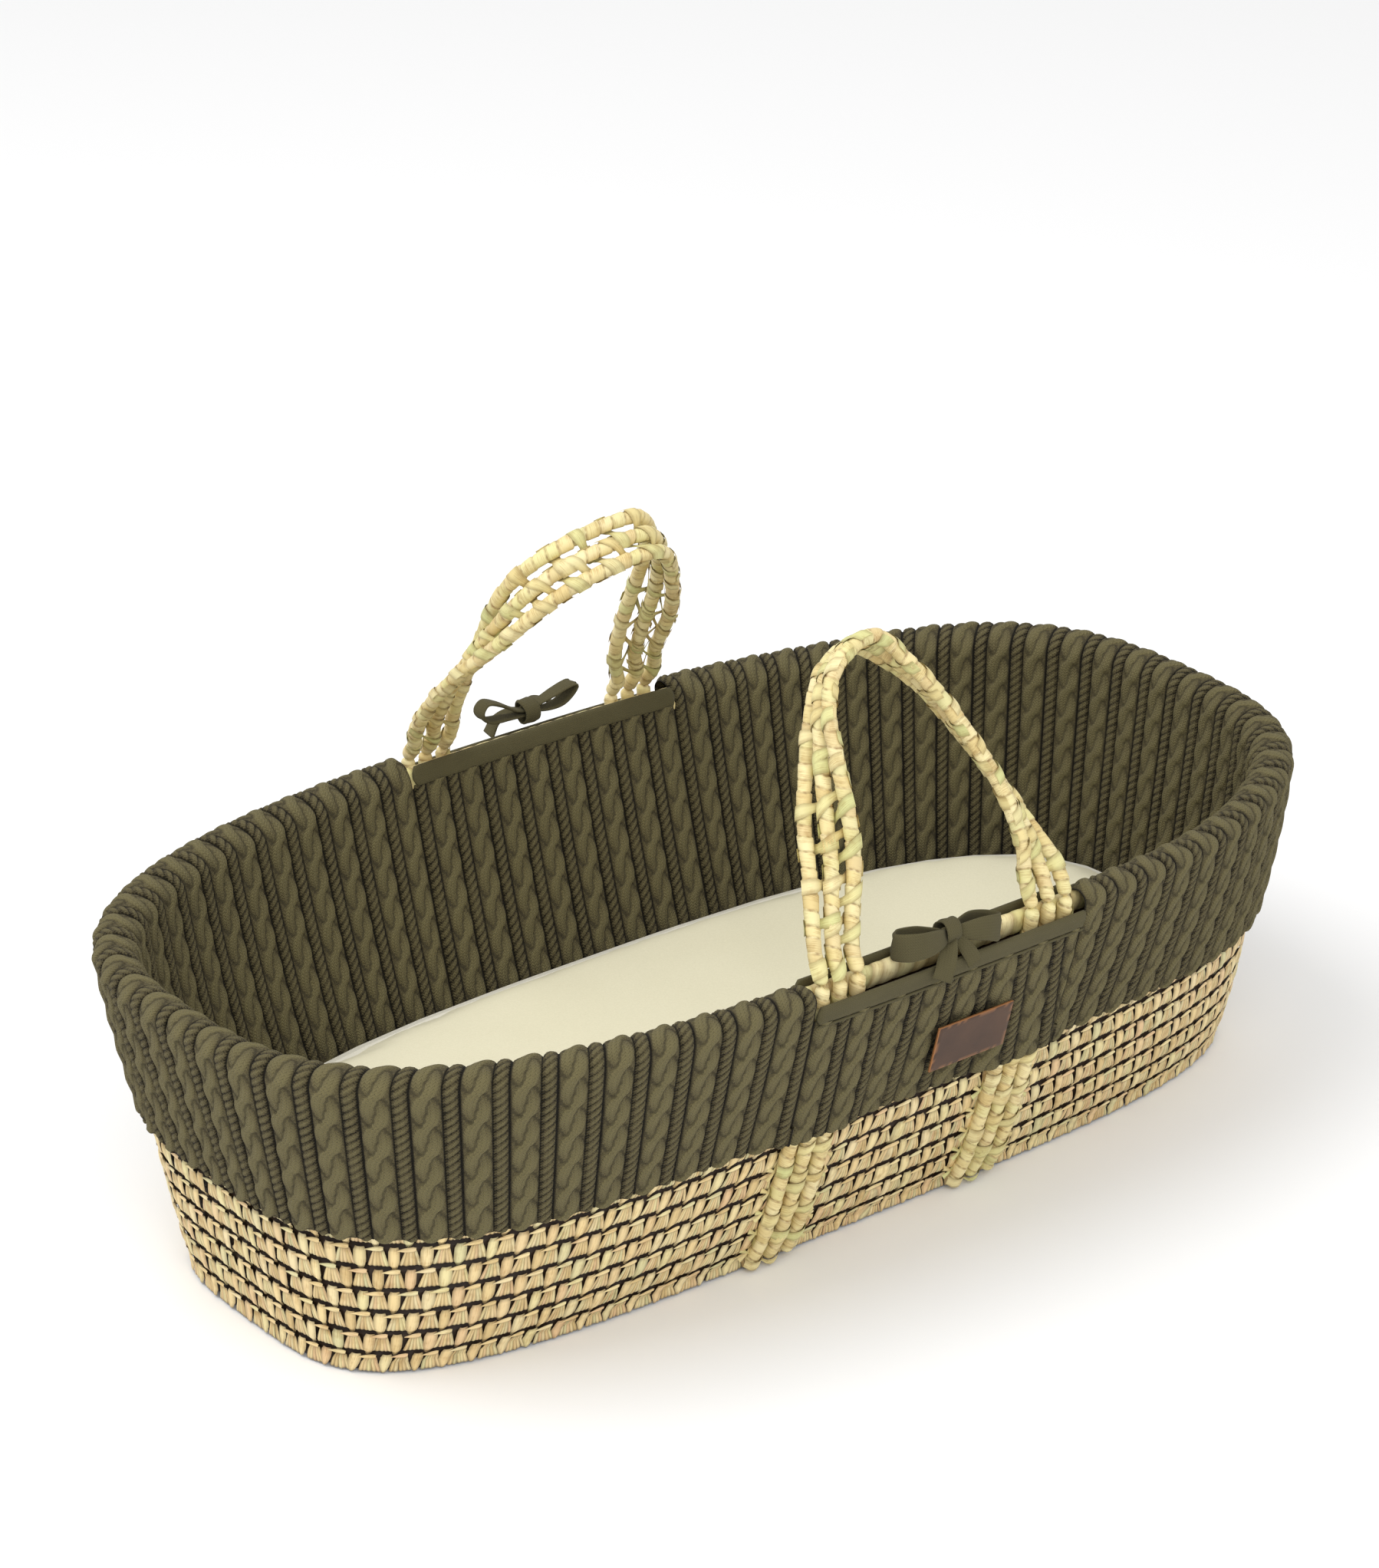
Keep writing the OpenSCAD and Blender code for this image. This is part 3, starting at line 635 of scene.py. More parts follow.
@dataclass
class KnitLiner:
    """The knitted liner: two end covers over the rim, centre panels, bindings and hem."""

    wall: WallForm
    finishes: Finishes
    pattern: CablePattern = CablePattern()
    cloth_t: float = 3.2 * MM
    fine: float = 1.35 * MM
    hem_tuck: float = 7.0 * MM
    strap_half: float = 30.0 * MM
    seam_turn: float = 2.2 * MM
    front_slant: float = -0.14
    pad_z: float = 64 * MM
    binding_t: tuple[float, float] = (4.6 * MM, 4.0 * MM)
    binding_steps: int = 90
    piping_r: float = 1.0 * MM

    def __post_init__(self) -> None:
        """Take the liner's places from the frame."""
        ring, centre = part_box("cover_head_end"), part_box("skirt_front_centre")
        self.slot = (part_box("cover_foot_end")[1][0], ring[0][0])
        self.hem_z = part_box("hem_elastic")[0][2]
        self.foot_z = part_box("lining_front_centre")[0][2]
        self.in_off = -self.wall.half_t - 0.8 * MM - self.cloth_t / 2
        rim_half = self.wall.halves(np.array(self.wall.rim_z + 1.8 * MM))[0]
        self.out_off = ring[1][0] - rim_half - self.cloth_t / 2
        self.roll_r = (self.out_off - self.in_off) / 2
        self.roll_off = (self.out_off + self.in_off) / 2
        self.roll_z = ring[1][2] - self.roll_r - self.cloth_t / 2
        self.skirt_top = centre[1][2]
        self.lining_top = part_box("lining_front_centre")[1][2]
        straps = [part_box(f"front_{end}_strap_cords") for end in ("left", "right")]
        self.strap_x = [(low[0] + high[0]) / 2 for low, high in straps]

    def inside_rows(self, low: float, top: float) -> list[tuple[float, float, float]]:
        """Rows up the inside: a few where the mattress hides them, fine ones above."""
        rows = [(self.in_off, z, 0.0) for z in np.linspace(self.foot_z, low, 6)[:-1]]
        steps = round((top - low) / self.fine)
        return rows + [(self.in_off, z, 0.0) for z in np.linspace(low, top, steps)]

    def roll_rows(self) -> list[tuple[float, float, float]]:
        """Rows over the rolled rim."""
        arc = np.linspace(math.pi, 0, round(math.pi * self.roll_r / self.fine))[1:]
        return [(self.roll_off + self.roll_r * math.cos(a), self.roll_z + self.roll_r * math.sin(a), 0.0)
                for a in arc]

    def skirt_rows(self, top: float) -> list[tuple[float, float, float]]:
        """Rows of the skirt from a height down to the hem, where it turns up inside."""
        drop = top - self.hem_z
        levels = top - np.linspace(0, drop, round(drop / self.fine))
        start = self.roll_z - self.hem_z
        rows = [(self.out_off, z, 1.0 - (z - self.hem_z) / start) for z in levels]
        turn = 0.8 * MM
        for a in np.linspace(0, math.pi, 5)[1:]:
            rows.append((self.out_off - turn + turn * math.cos(a), self.hem_z - turn * math.sin(a), 1.0))
        return rows + [(self.out_off - 2 * turn, self.hem_z + up, 1.0) for up in (3 * MM, 8 * MM, 14 * MM)]

    def tucked(self, points: Array, tuck: Array) -> Array:
        """Draw the skirt in to the wall below, away from the straps that run under it."""
        x = points[..., 0]
        over_strap = np.zeros_like(x)
        for at in self.strap_x:
            near = 1.0 - smoothstep((np.abs(x - at) - 18 * MM) / self.strap_half)
            over_strap = np.maximum(over_strap, near)
        on_side = np.abs(points[..., 1]) > 0.45 * self.wall.rim_w
        draw = self.hem_tuck * tuck[:, None] ** 1.3 * (1.0 - np.where(on_side, over_strap, 0.0))
        centre = np.array([self.wall.base_shift / 2, 0.0])
        scale = np.array([1.0 / self.wall.rim_l**2, 1.0 / self.wall.rim_w**2])
        outward = unit((points[..., :2] - centre) * scale)
        moved = points.copy()
        moved[..., :2] -= outward * draw[..., None]
        return moved

    def cloth(self, name: str, rows: list, start: tuple[float, int], end: tuple[float, int],
              periods: float, keep: tuple[float, float] = (0.0, 1.0), slant: float = 0.0,
              node: str = "", rests: str = "rim_course") -> bpy.types.Object:
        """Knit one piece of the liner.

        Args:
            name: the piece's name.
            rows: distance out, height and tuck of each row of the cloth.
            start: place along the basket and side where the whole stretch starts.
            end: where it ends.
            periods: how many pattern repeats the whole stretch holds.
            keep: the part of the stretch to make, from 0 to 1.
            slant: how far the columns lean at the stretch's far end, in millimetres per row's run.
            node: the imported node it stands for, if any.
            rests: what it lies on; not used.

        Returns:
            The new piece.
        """
        out, z, tuck = np.array(rows).T
        run = np.concatenate([[0], np.cumsum(np.hypot(np.diff(out), np.diff(z)))]) / MM
        across = self.pattern.columns(periods)
        total = across[-1]
        across = across[(across >= keep[0] * total - 0.01) & (across <= keep[1] * total + 0.01)]
        base, lengths = self.wall.rows(out, z, across / total, start, end)
        base = self.wall.settled(self.tucked(base, tuck))
        normal = normals_of(base)
        lean = slant * run[:, None] * (across[None, :] / total) ** 2
        high, mark, stitch = self.pattern.relief(across[None, :] + lean, run[:, None])
        edge = np.minimum(across, total - across)[None, :]
        plain = 1.0 - smoothstep((edge - 2.0) / 3.0)
        high = high * (1.0 - plain) - (1.0 - smoothstep(edge / 3.0)) * self.seam_turn
        points = base - normal * high[..., None]
        work = Patchwork()
        work.add(points, stitch, np.stack([np.full_like(mark, 0.5), mark], axis=-1), flip=True)
        piece = work.build(name, self.finishes.knit)
        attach(piece, "basket")
        if node:
            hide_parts(node)
        return piece

    def covers(self) -> None:
        """Make the two end covers, each from two halves sewn at the middle of its end."""
        left, right = self.slot
        rows = self.inside_rows(self.pad_z, self.roll_z) + self.roll_rows() + self.skirt_rows(self.roll_z)[1:]
        for label, start, end in (("head_end", (right, -1), (right, 1)), ("foot_end", (left, 1), (left, -1))):
            _, lengths = self.wall.rows(np.array([self.out_off]), np.array([self.wall.rim_z]),
                                        np.array([0.0, 1.0]), start, end)
            periods = 2 * round(lengths[0] / MM / self.pattern.period / 2)
            for half, keep in (("a", (0.0, 0.5)), ("b", (0.5, 1.0))):
                node = f"cover_{label}" if half == "a" else ""
                self.cloth(f"cover_{label}_{half}", rows, start, end, periods, keep, node=node)

    def centres(self) -> None:
        """Make the skirt and lining panels between the slots' seams."""
        left, right = self.slot
        width = (right - left) / MM / self.pattern.period
        skirt = self.skirt_rows(self.skirt_top + 2 * MM)
        lining = self.inside_rows(self.pad_z, self.lining_top + 1 * MM)
        for side in Side:
            span = side.span(left, right)
            slant = self.front_slant if side is Side.FRONT else 0.0
            self.cloth(f"skirt_{side.label}_panel", skirt, *span, round(width * 2) / 2, slant=slant,
                       node=f"skirt_{side.label}_centre", rests="rim_course")
            self.cloth(f"lining_{side.label}_panel", lining, *span, round(width),
                       node=f"lining_{side.label}_centre", rests="wall_course_12")

    def swept_band(self, name: str, section: Array, start: tuple[float, int], end: tuple[float, int],
                   steps: int, material: bpy.types.Material) -> bpy.types.Object:
        """Sweep a closed section along the wall between two places.

        Args:
            name: the piece's name.
            section: distance out and height of each point of the section.
            start: place along the basket and side.
            end: the same for the end.
            steps: points along the sweep.
            material: its finish.

        Returns:
            The new piece.
        """
        share = np.linspace(0.0, 1.0, steps)
        points, lengths = self.wall.rows(section[:, 0], section[:, 1], share, start, end)
        middle = points.mean(axis=0)
        for end_row in (0, -1):
            points[:, end_row] = middle[end_row] + (points[:, end_row] - middle[end_row]) * 0.35
        points = self.wall.settled(points)
        run = np.concatenate([[0], np.cumsum(np.hypot(*np.diff(section, axis=0).T))]) / MM
        uv = np.stack(np.broadcast_arrays(share[None, :] * lengths[0] / MM, run[:, None]), axis=-1)
        work = Patchwork()
        work.add(points, uv, 0.5, wrap_rows=True)
        piece = work.build(name, material)
        close_ends(piece)
        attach(piece, "basket")
        return piece

    def bindings(self) -> None:
        """Bind both edges of each slot in plain jersey, with a fine piping below the outer one."""
        left, right = self.slot
        edges = tuple(zip(("outer", "inner"), (self.out_off, self.in_off), self.binding_t))
        for side in Side:
            span = side.span(left, right)
            for place, off, thick in edges:
                node = f"{side.label}_{place}_binding"
                low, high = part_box(node)
                section = rounded_section(off, (low[2] + high[2]) / 2, thick / 2, (high[2] - low[2]) / 2, 20)
                band = self.swept_band(f"{side.label}_{place}_slot_binding", section, *span,
                                       self.binding_steps, self.finishes.tape)
                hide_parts(node)
            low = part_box(f"{side.label}_outer_binding")[0][2] - 1.2 * MM
            section = rounded_section(self.out_off + 1.2 * MM, low, self.piping_r, self.piping_r, 8)
            piping = self.swept_band(f"{side.label}_slot_piping", section, *span, self.binding_steps,
                                     self.finishes.tape)

    def hem_band(self) -> None:
        """Lay the elastic inside the turned hem."""
        z = self.hem_z + np.array([1.0, 4.0, 7.0, 11.0]) * MM
        out = np.full_like(z, self.out_off - 1.3 * MM)
        share = np.linspace(0, 1, 361)[:-1]
        points, lengths = self.wall.rows(out, z, share)
        points = self.tucked(points, np.ones(len(z)))
        work = Patchwork()
        run = np.linspace(0, lengths[0] / MM, len(share))
        uv = np.stack(np.broadcast_arrays(run[None, :], (z / MM)[:, None]), axis=-1)
        work.add(points, uv, 0.5, wrap_cols=True, flip=True)
        band = work.build("hem_elastic_band", self.finishes.lining)
        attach(band, "basket")
        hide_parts("hem_elastic")

    def floor_cloth(self) -> None:
        """Lay the lining's base over the panel, a little rumpled."""
        low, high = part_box("lining_base")
        rings = np.linspace(0.004, 1.0, 26)
        turn = np.linspace(0, 2 * math.pi, 145)[:-1]
        edge = self.wall.point(turn, np.full_like(turn, self.in_off), np.full_like(turn, low[2]))
        centre = np.array([self.wall.base_shift, 0.0, 0.0])
        flat = centre + (edge - centre) * rings[:, None, None]
        flat[..., 2] = high[2] - 0.8 * MM + 0.6 * MM * (
            np.sin(flat[..., 0] * 41.0 + 3.0 * np.sin(flat[..., 1] * 23.0)) * np.cos(flat[..., 1] * 35.0))
        flat[-1, :, 2] = high[2] + 3.0 * MM
        work = Patchwork()
        work.add(flat, flat[..., :2] / MM, 0.5, wrap_cols=True, flip=True)
        piece = work.build("lining_floor", self.finishes.lining)
        close_ends(piece, turn_out=False)
        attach(piece, "basket")
        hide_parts("lining_base")

    def build(self) -> None:
        """Make the whole liner."""
        self.covers()
        self.centres()
        self.bindings()
        self.hem_band()
        self.floor_cloth()


def rounded_section(off: float, z: float, half_t: float, half_h: float, count: int) -> Array:
    """A rounded oblong section, as distance out and height, anticlockwise.

    Args:
        off: distance out of its middle.
        z: height of its middle.
        half_t: half its thickness.
        half_h: half its height.
        count: number of points.

    Returns:
        Points by 2.
    """
    a = np.linspace(0, 2 * math.pi, count, endpoint=False)
    c, s = np.cos(a), np.sin(a)
    return np.stack([off + half_t * np.sign(c) * np.abs(c) ** 0.6,
                     z + half_h * np.sign(s) * np.abs(s) ** 0.75], axis=-1)


def pick(piece: bpy.types.Object) -> None:
    """Select one piece alone and make it active."""
    bpy.ops.object.select_all(action="DESELECT")
    piece.select_set(True)
    bpy.context.view_layer.objects.active = piece


def close_ends(piece: bpy.types.Object, turn_out: bool = True) -> None:
    """Fill every open edge loop of a piece.

    Args:
        piece: the piece.
        turn_out: whether its faces are then pointed outwards.
    """
    pick(piece)
    bpy.ops.object.mode_set(mode="EDIT")
    bpy.ops.mesh.select_all(action="SELECT")
    bpy.ops.mesh.fill_holes(sides=0)
    bpy.ops.mesh.select_all(action="SELECT")
    if turn_out:
        bpy.ops.mesh.normals_make_consistent(inside=False)
    bpy.ops.object.mode_set(mode="OBJECT")


# --------------------------------------------------------------------------- the coiled wall


@dataclass
class CoiledWall:
    """Coils of palm leaf: strips lap each coil, and knots tie it to the coil below."""

    wall: WallForm
    finishes: Finishes
    rows_wrapped: int = 7
    pitch: float = 19.2 * MM
    stitch_shift: float = 8.0 * MM
    bundle: float = 1.2 * MM
    seed: int = 5

    def __post_init__(self) -> None:
        """Measure the coils."""
        self.rng = np.random.default_rng(self.seed)
        self.levels = [sum(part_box(f"wall_course_{k + 1:02d}")[i][2] for i in (0, 1)) / 2 for k in range(12)]

    def profile(self, t: Array) -> Array:
        """How far out a leaf lies on its coil, at a height from the coil's middle."""
        u = np.clip(t / (8.6 * MM), -1.3, 1.3)
        belly = self.wall.half_t + self.bundle * (1.0 - np.abs(u + 0.15) ** 2.4)
        return belly - 1.6 * MM * smoothstep((np.abs(u) - 0.72) / 0.4)

    def lay(self, work: Patchwork, track: tuple, z: float, centre: Array, t: Array, half_w: Array,
            lift: float, bulge: float, tint: float, across: int = 4) -> None:
        """Lay one strip of leaf on a coil.

        Args:
            work: what to add it to.
            track: the coil's run and turn, for looking up places.
            z: the coil's height.
            centre: place along the coil at each point down the strip.
            t: height from the coil's middle at each point.
            half_w: half width at each point.
            lift: how far it stands off the coil.
            bulge: how far its middle stands above its edges.
            tint: its colour, from 0 to 1.
            across: points across it.
        """
        u = np.linspace(-1.0, 1.0, across)
        s = centre[:, None] + half_w[:, None] * u
        turn = np.interp(np.mod(s, track[0][-1]), track[0], track[1])
        t2 = np.broadcast_to(t[:, None], s.shape)
        off = self.profile(t2) + lift + bulge * (1.0 - u * u)
        points = self.wall.point(turn, off, z + t2)
        uv = np.stack([np.broadcast_to(half_w[:, None] * u / MM, s.shape), t2 / MM], axis=-1)
        # painted shade: the strip darkens towards its edges and its two ends, where it meets its neighbours
        # and runs into the tie
        dark = 1.0 - 0.5 * np.abs(u) ** 6 * np.ones_like(s)
        ends = np.abs(np.linspace(-1, 1, len(t)))[:, None] ** 8
        depth = dark * (1.0 - 0.45 * ends)
        work.add(points, uv, np.stack([np.full_like(depth, tint), depth], axis=-1), flip=True)

    def track(self, z: float) -> tuple[Array, Array]:
        """Run and turn round one coil."""
        turn = np.linspace(0, 2 * math.pi, 4001)
        curve = self.wall.point(turn, self.wall.half_t, np.full_like(turn, z))
        run = np.concatenate([[0], np.cumsum(np.linalg.norm(np.diff(curve, axis=0), axis=1))])
        return run, turn

    def row(self, number: int, count: int, phase: float) -> None:
        """Wrap and knot one coil.

        Args:
            number: the coil's number, from 0 at the floor.
            count: knots round it.
            phase: how far along the first knot is.
        """
        rng = self.rng
        z = self.levels[number]
        track = self.track(z)
        step = track[0][-1] / count
        work = Patchwork()
        down = np.linspace(0, 1, 8)
        low = -7.4 * MM if number else -6.9 * MM
        for j in range(count):
            knot = (j + phase) * step + rng.normal(0, 0.5) * MM
            # the plain strip, drawn in at its foot into the tie to the coil below
            centre = knot + 9.0 * MM + rng.normal(0, 0.4) * MM
            tilt = rng.normal(0, 0.5) * MM
            t = (6.9 * MM) * (1 - down) + (low - (4.6 * MM if number else 0)) * down
            half = np.interp(down, [0, 0.12, 0.55, 0.8, 1.0], [2.6, 3.7, 3.8, 2.6, 1.5]) * MM
            half *= rng.uniform(0.88, 1.12)
            self.lay(work, track, z, centre + tilt * (down - 0.5) - 1.5 * MM * down**3, t, half,
                     0.9 * MM, 0.8 * MM, rng.uniform())
            # the creased fan under the knot
            for k in range(5):
                spread = (k - 2) / 2.0
                top = knot + (spread * 2.6 - 0.4) * MM
                foot = knot + (spread * 5.4 - 0.6 + rng.normal(0, 0.35)) * MM
                t = (4.6 * MM) * (1 - down) + (low + rng.uniform(-0.3, 0.6) * MM) * down
                half = np.interp(down, [0, 0.3, 1.0], [0.7, 1.1, 1.65]) * MM * rng.uniform(0.85, 1.15)
                self.lay(work, track, z, top + (foot - top) * down, t, half, rng.uniform(0, 0.5) * MM,
                         0.75 * MM, rng.uniform(), 3)
            # the tie's band, lying along the coil's top edge
            # two draws are taken and one is used, which keeps the order of the draws after them
            slip = rng.normal(0, (0.3, 0.25))[1]
            self.band(work, track, z, knot, (5.6 + slip) * MM, rng)
        piece = work.build(f"leaf_wrapping_{number + 1:02d}", self.finishes.leaf)
        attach(piece, "basket")

    def band(self, work: Patchwork, track: tuple, z: float, knot: float, t0: float,
             rng: np.random.Generator) -> None:
        """Lay a tie's band along a coil's top edge: a leaf-shaped fold, blunt where the tie goes up."""
        u = np.linspace(0, 1, 8)
        length = rng.uniform(9.5, 12.5) * MM
        s = knot + 3.0 * MM - length * u
        half = np.interp(u, [0, 0.15, 0.5, 1.0], [1.2, 1.9, 1.7, 0.2]) * MM
        v = np.linspace(-1, 1, 4)
        t = t0 + (1.0 - 1.6 * u)[:, None] * 0.6 * MM + half[:, None] * v
        s2 = np.broadcast_to(s[:, None], t.shape)
        turn = np.interp(np.mod(s2, track[0][-1]), track[0], track[1])
        off = self.profile(np.minimum(t, 5.0 * MM)) + 1.2 * MM + 0.7 * MM * (1 - v * v)
        points = self.wall.point(turn, off, z + t)
        uv = np.stack([t / MM, s2 / MM], axis=-1)
        # painted shade along the band's two edges
        depth = 1.0 - 0.4 * np.abs(v) ** 6 * np.ones_like(t)
        work.add(points, uv, np.stack([np.full_like(depth, rng.uniform()), depth], axis=-1))

    def rim_wraps(self) -> None:
        """Wrap the rim's coil all round; only the slots show it."""
        rng = self.rng
        z = self.wall.rim_z
        track = self.track(z)
        a = np.linspace(-0.9, math.pi + 0.9, 13)
        work = Patchwork()
        s = 0.0
        while s < track[0][-1]:
            wide = rng.uniform(7.0, 15.0) * MM
            u = np.linspace(-1, 1, 4)
            lean = rng.uniform(0.5, 2.5) * MM
            at = s + wide / 2 + (wide / 2 + 0.4 * MM) * u + lean * np.sin(a)[:, None]
            turn = np.interp(np.mod(at, track[0][-1]), track[0], track[1])
            off = np.cos(a)[:, None] * (self.wall.half_t + 0.6 * MM + 0.4 * MM * (1 - u * u))
            high = np.sin(a)[:, None] * (8.6 * MM + 0.4 * MM * (1 - u * u))
            points = self.wall.settled(self.wall.point(turn, off, z + high))
            uv = np.stack(np.broadcast_arrays((wide / 2 * u / MM)[None, :], (a * 6)[:, None]), axis=-1)
            # painted shade along each wrap's two edges
            depth = (1.0 - 0.5 * np.abs(u) ** 6) * np.ones((len(a), 1))
            work.add(points, uv, np.stack([np.full_like(depth, rng.uniform()), depth], axis=-1))
            s += wide
        piece = work.build("rim_leaf_wrapping", self.finishes.cord)
        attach(piece, "basket")
        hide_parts("rim_course")

    def build(self) -> None:
        """Wrap the coils that show, and dress the ones inside."""
        count = round(self.track(self.levels[3])[0][-1] / self.pitch)
        for number in range(self.rows_wrapped):
            phase = 0.15 + (self.rows_wrapped - number) * self.stitch_shift / self.pitch
            self.row(number, count, phase % 1.0)
        self.rim_wraps()
        for name, node in frame["nodes"].items():
            if name.startswith("wall_course"):
                dress(node, self.finishes.core)
        dress(frame["nodes"]["base_panel"], self.finishes.panel)


def dress(piece: bpy.types.Object, material: bpy.types.Material) -> None:
    """Give every slot of a piece one finish."""
    if not piece.material_slots:
        piece.data.materials.append(material)
    for place in piece.material_slots:
        place.material = material


# --------------------------------------------------------------------------- cords, straps, handles


def smooth_route(points: Array, step: float) -> Array:
    """Run a smooth curve through given points.

    Args:
        points: the route's points, with any number of values each; the first three are a place.
        step: distance between the points given back.

    Returns:
        Evenly spaced rows, with the same values.
    """
    p = np.vstack([2 * points[0] - points[1], points, 2 * points[-1] - points[-2]])
    t = np.linspace(0, 1, 24, endpoint=False)[:, None]
    parts = []
    for i in range(1, len(p) - 2):
        a, b, c, d = p[i - 1], p[i], p[i + 1], p[i + 2]
        parts.append(0.5 * (2 * b + (c - a) * t + (2 * a - 5 * b + 4 * c - d) * t**2
                            + (3 * b - a - 3 * c + d) * t**3))
    dense = np.vstack(parts + [points[-1:]])
    run = np.concatenate([[0], np.cumsum(np.linalg.norm(np.diff(dense[:, :3], axis=0), axis=1))])
    at = np.linspace(0, run[-1], max(2, round(run[-1] / step)))
    return np.stack([np.interp(at, run, dense[:, k]) for k in range(dense.shape[1])], axis=-1)


@dataclass
class LacedStrap:
    """Three leaf-wrapped cords side by side, laced together with strips of leaf."""

    spine: Array
    across: Array
    face: Array
    material: bpy.types.Material
    lace_material: bpy.types.Material
    seed: int
    cord_r: float = 4.7 * MM
    gap: float = 14.0 * MM
    wrap: tuple[float, float] = (6.5, 11.0)

    def __post_init__(self) -> None:
        """Measure the strap's run."""
        self.rng = np.random.default_rng(self.seed)
        step = np.linalg.norm(np.diff(self.spine, axis=0), axis=1)
        self.run = np.concatenate([[0], np.cumsum(step)])

    def cord(self, work: Patchwork, place: float) -> None:
        """Wrap one cord in flat leaf.

        Args:
            work: what to add it to.
            place: which cord, from -1 to 1.
        """
        rng = self.rng
        line = self.spine + self.across * (place * self.gap)
        run = np.concatenate([[0], np.cumsum(np.linalg.norm(np.diff(line, axis=0), axis=1))]) / MM
        marks = [0.0]
        while marks[-1] < run[-1]:
            marks.append(marks[-1] + rng.uniform(*self.wrap))
        marks = np.array(marks)
        tints, swells = rng.uniform(0, 1, len(marks)), rng.uniform(-0.25, 0.35, len(marks))
        a = np.linspace(0, 2 * math.pi, 15)[:-1]
        slope = rng.uniform(0.8, 2.2)
        s = run[:, None] + slope * np.cos(a)[None, :]
        k = np.clip(np.searchsorted(marks, s, side="right") - 1, 0, len(marks) - 2)
        part = (s - marks[k]) / (marks[k + 1] - marks[k])
        r = self.cord_r / MM + swells[k] + 0.45 * (part - 0.5) - 0.5 * np.exp(-((part / 0.08) ** 2))
        end = np.minimum(run, run[-1] - run)[:, None]
        dome = np.sqrt(np.clip(1.0 - (1.0 - np.minimum(end / (self.cord_r / MM), 1.0)) ** 2, 0.02, 1.0))
        r = r * dome * MM
        points = (line[:, None] + self.across[:, None] * (np.cos(a)[None, :, None] * r[..., None])
                  + self.face[:, None] * (np.sin(a)[None, :, None] * r[..., None]))
        # painted shade where each turn of leaf starts and ends, in the crevice between neighbouring turns
        depth = 1.0 - 0.75 * np.exp(-((part / 0.07) ** 2)) - 0.35 * np.exp(-(((1 - part) / 0.05) ** 2))
        uv = np.stack([s * 1.0, np.broadcast_to(a * self.cord_r / MM, s.shape)], axis=-1)
        work.add(points, uv, np.stack([tints[k], np.clip(depth, 0, 1)], axis=-1), wrap_cols=True)

    def lace(self, work: Patchwork, low: float, high: float, pitch: float, wide: float, slope: float,
             start: float, stop: float) -> None:
        """Lace two neighbouring cords together.

        Args:
            work: what to add it to.
            low: place of one cord, from -1 to 1.
            high: place of the other.
            pitch: distance between strips.
            wide: width of a strip.
            slope: how far a strip climbs as it crosses.
            start: where the lacing starts along the strap.
            stop: where it stops.
        """
        rng = self.rng
        q = np.linspace(-0.42, 1.42, 13)
        v = np.linspace(-1, 1, 4)
        s0, turn = start, 1
        while s0 < stop:
            climb = slope * rng.uniform(0.7, 1.3)
            waist = 1.0 - 0.35 * np.exp(-(((q - 0.5) / 0.22) ** 2))
            s = s0 + climb * (q[:, None] - 0.5) + wide / 2 * rng.uniform(0.85, 1.1) * waist[:, None] * v
            s = np.clip(s, 0, self.run[-1])
            place = low + (high - low) * q
            r = self.cord_r + 0.9 * MM
            over = np.sqrt(np.clip(1 - ((q - 0.0) * self.gap / r) ** 2, 0, 1))
            under = np.sqrt(np.clip(1 - ((q - 1.0) * self.gap / r) ** 2, 0, 1))
            height = turn * r * (over - under)
            height = height[:, None] + 0.35 * MM * (1 - v * v)
            base = np.stack([np.interp(s, self.run, self.spine[:, k]) for k in range(3)], axis=-1)
            across = np.stack([np.interp(s, self.run, self.across[:, k]) for k in range(3)], axis=-1)
            face = np.stack([np.interp(s, self.run, self.face[:, k]) for k in range(3)], axis=-1)
            points = base + across * (place * self.gap)[:, None, None] + face * height[..., None]
            uv = np.stack([np.broadcast_to(v * wide / 2 / MM, s.shape),
                           np.broadcast_to((q * 14)[:, None], s.shape)], axis=-1)
            # painted shade along each strip's edges
            depth = 1.0 - 0.5 * np.abs(v) ** 6 * np.ones_like(s)
            work.add(points, uv, np.stack([np.full_like(depth, rng.uniform()), depth], axis=-1))
            s0 += pitch * rng.uniform(0.85, 1.15)
            turn = -turn


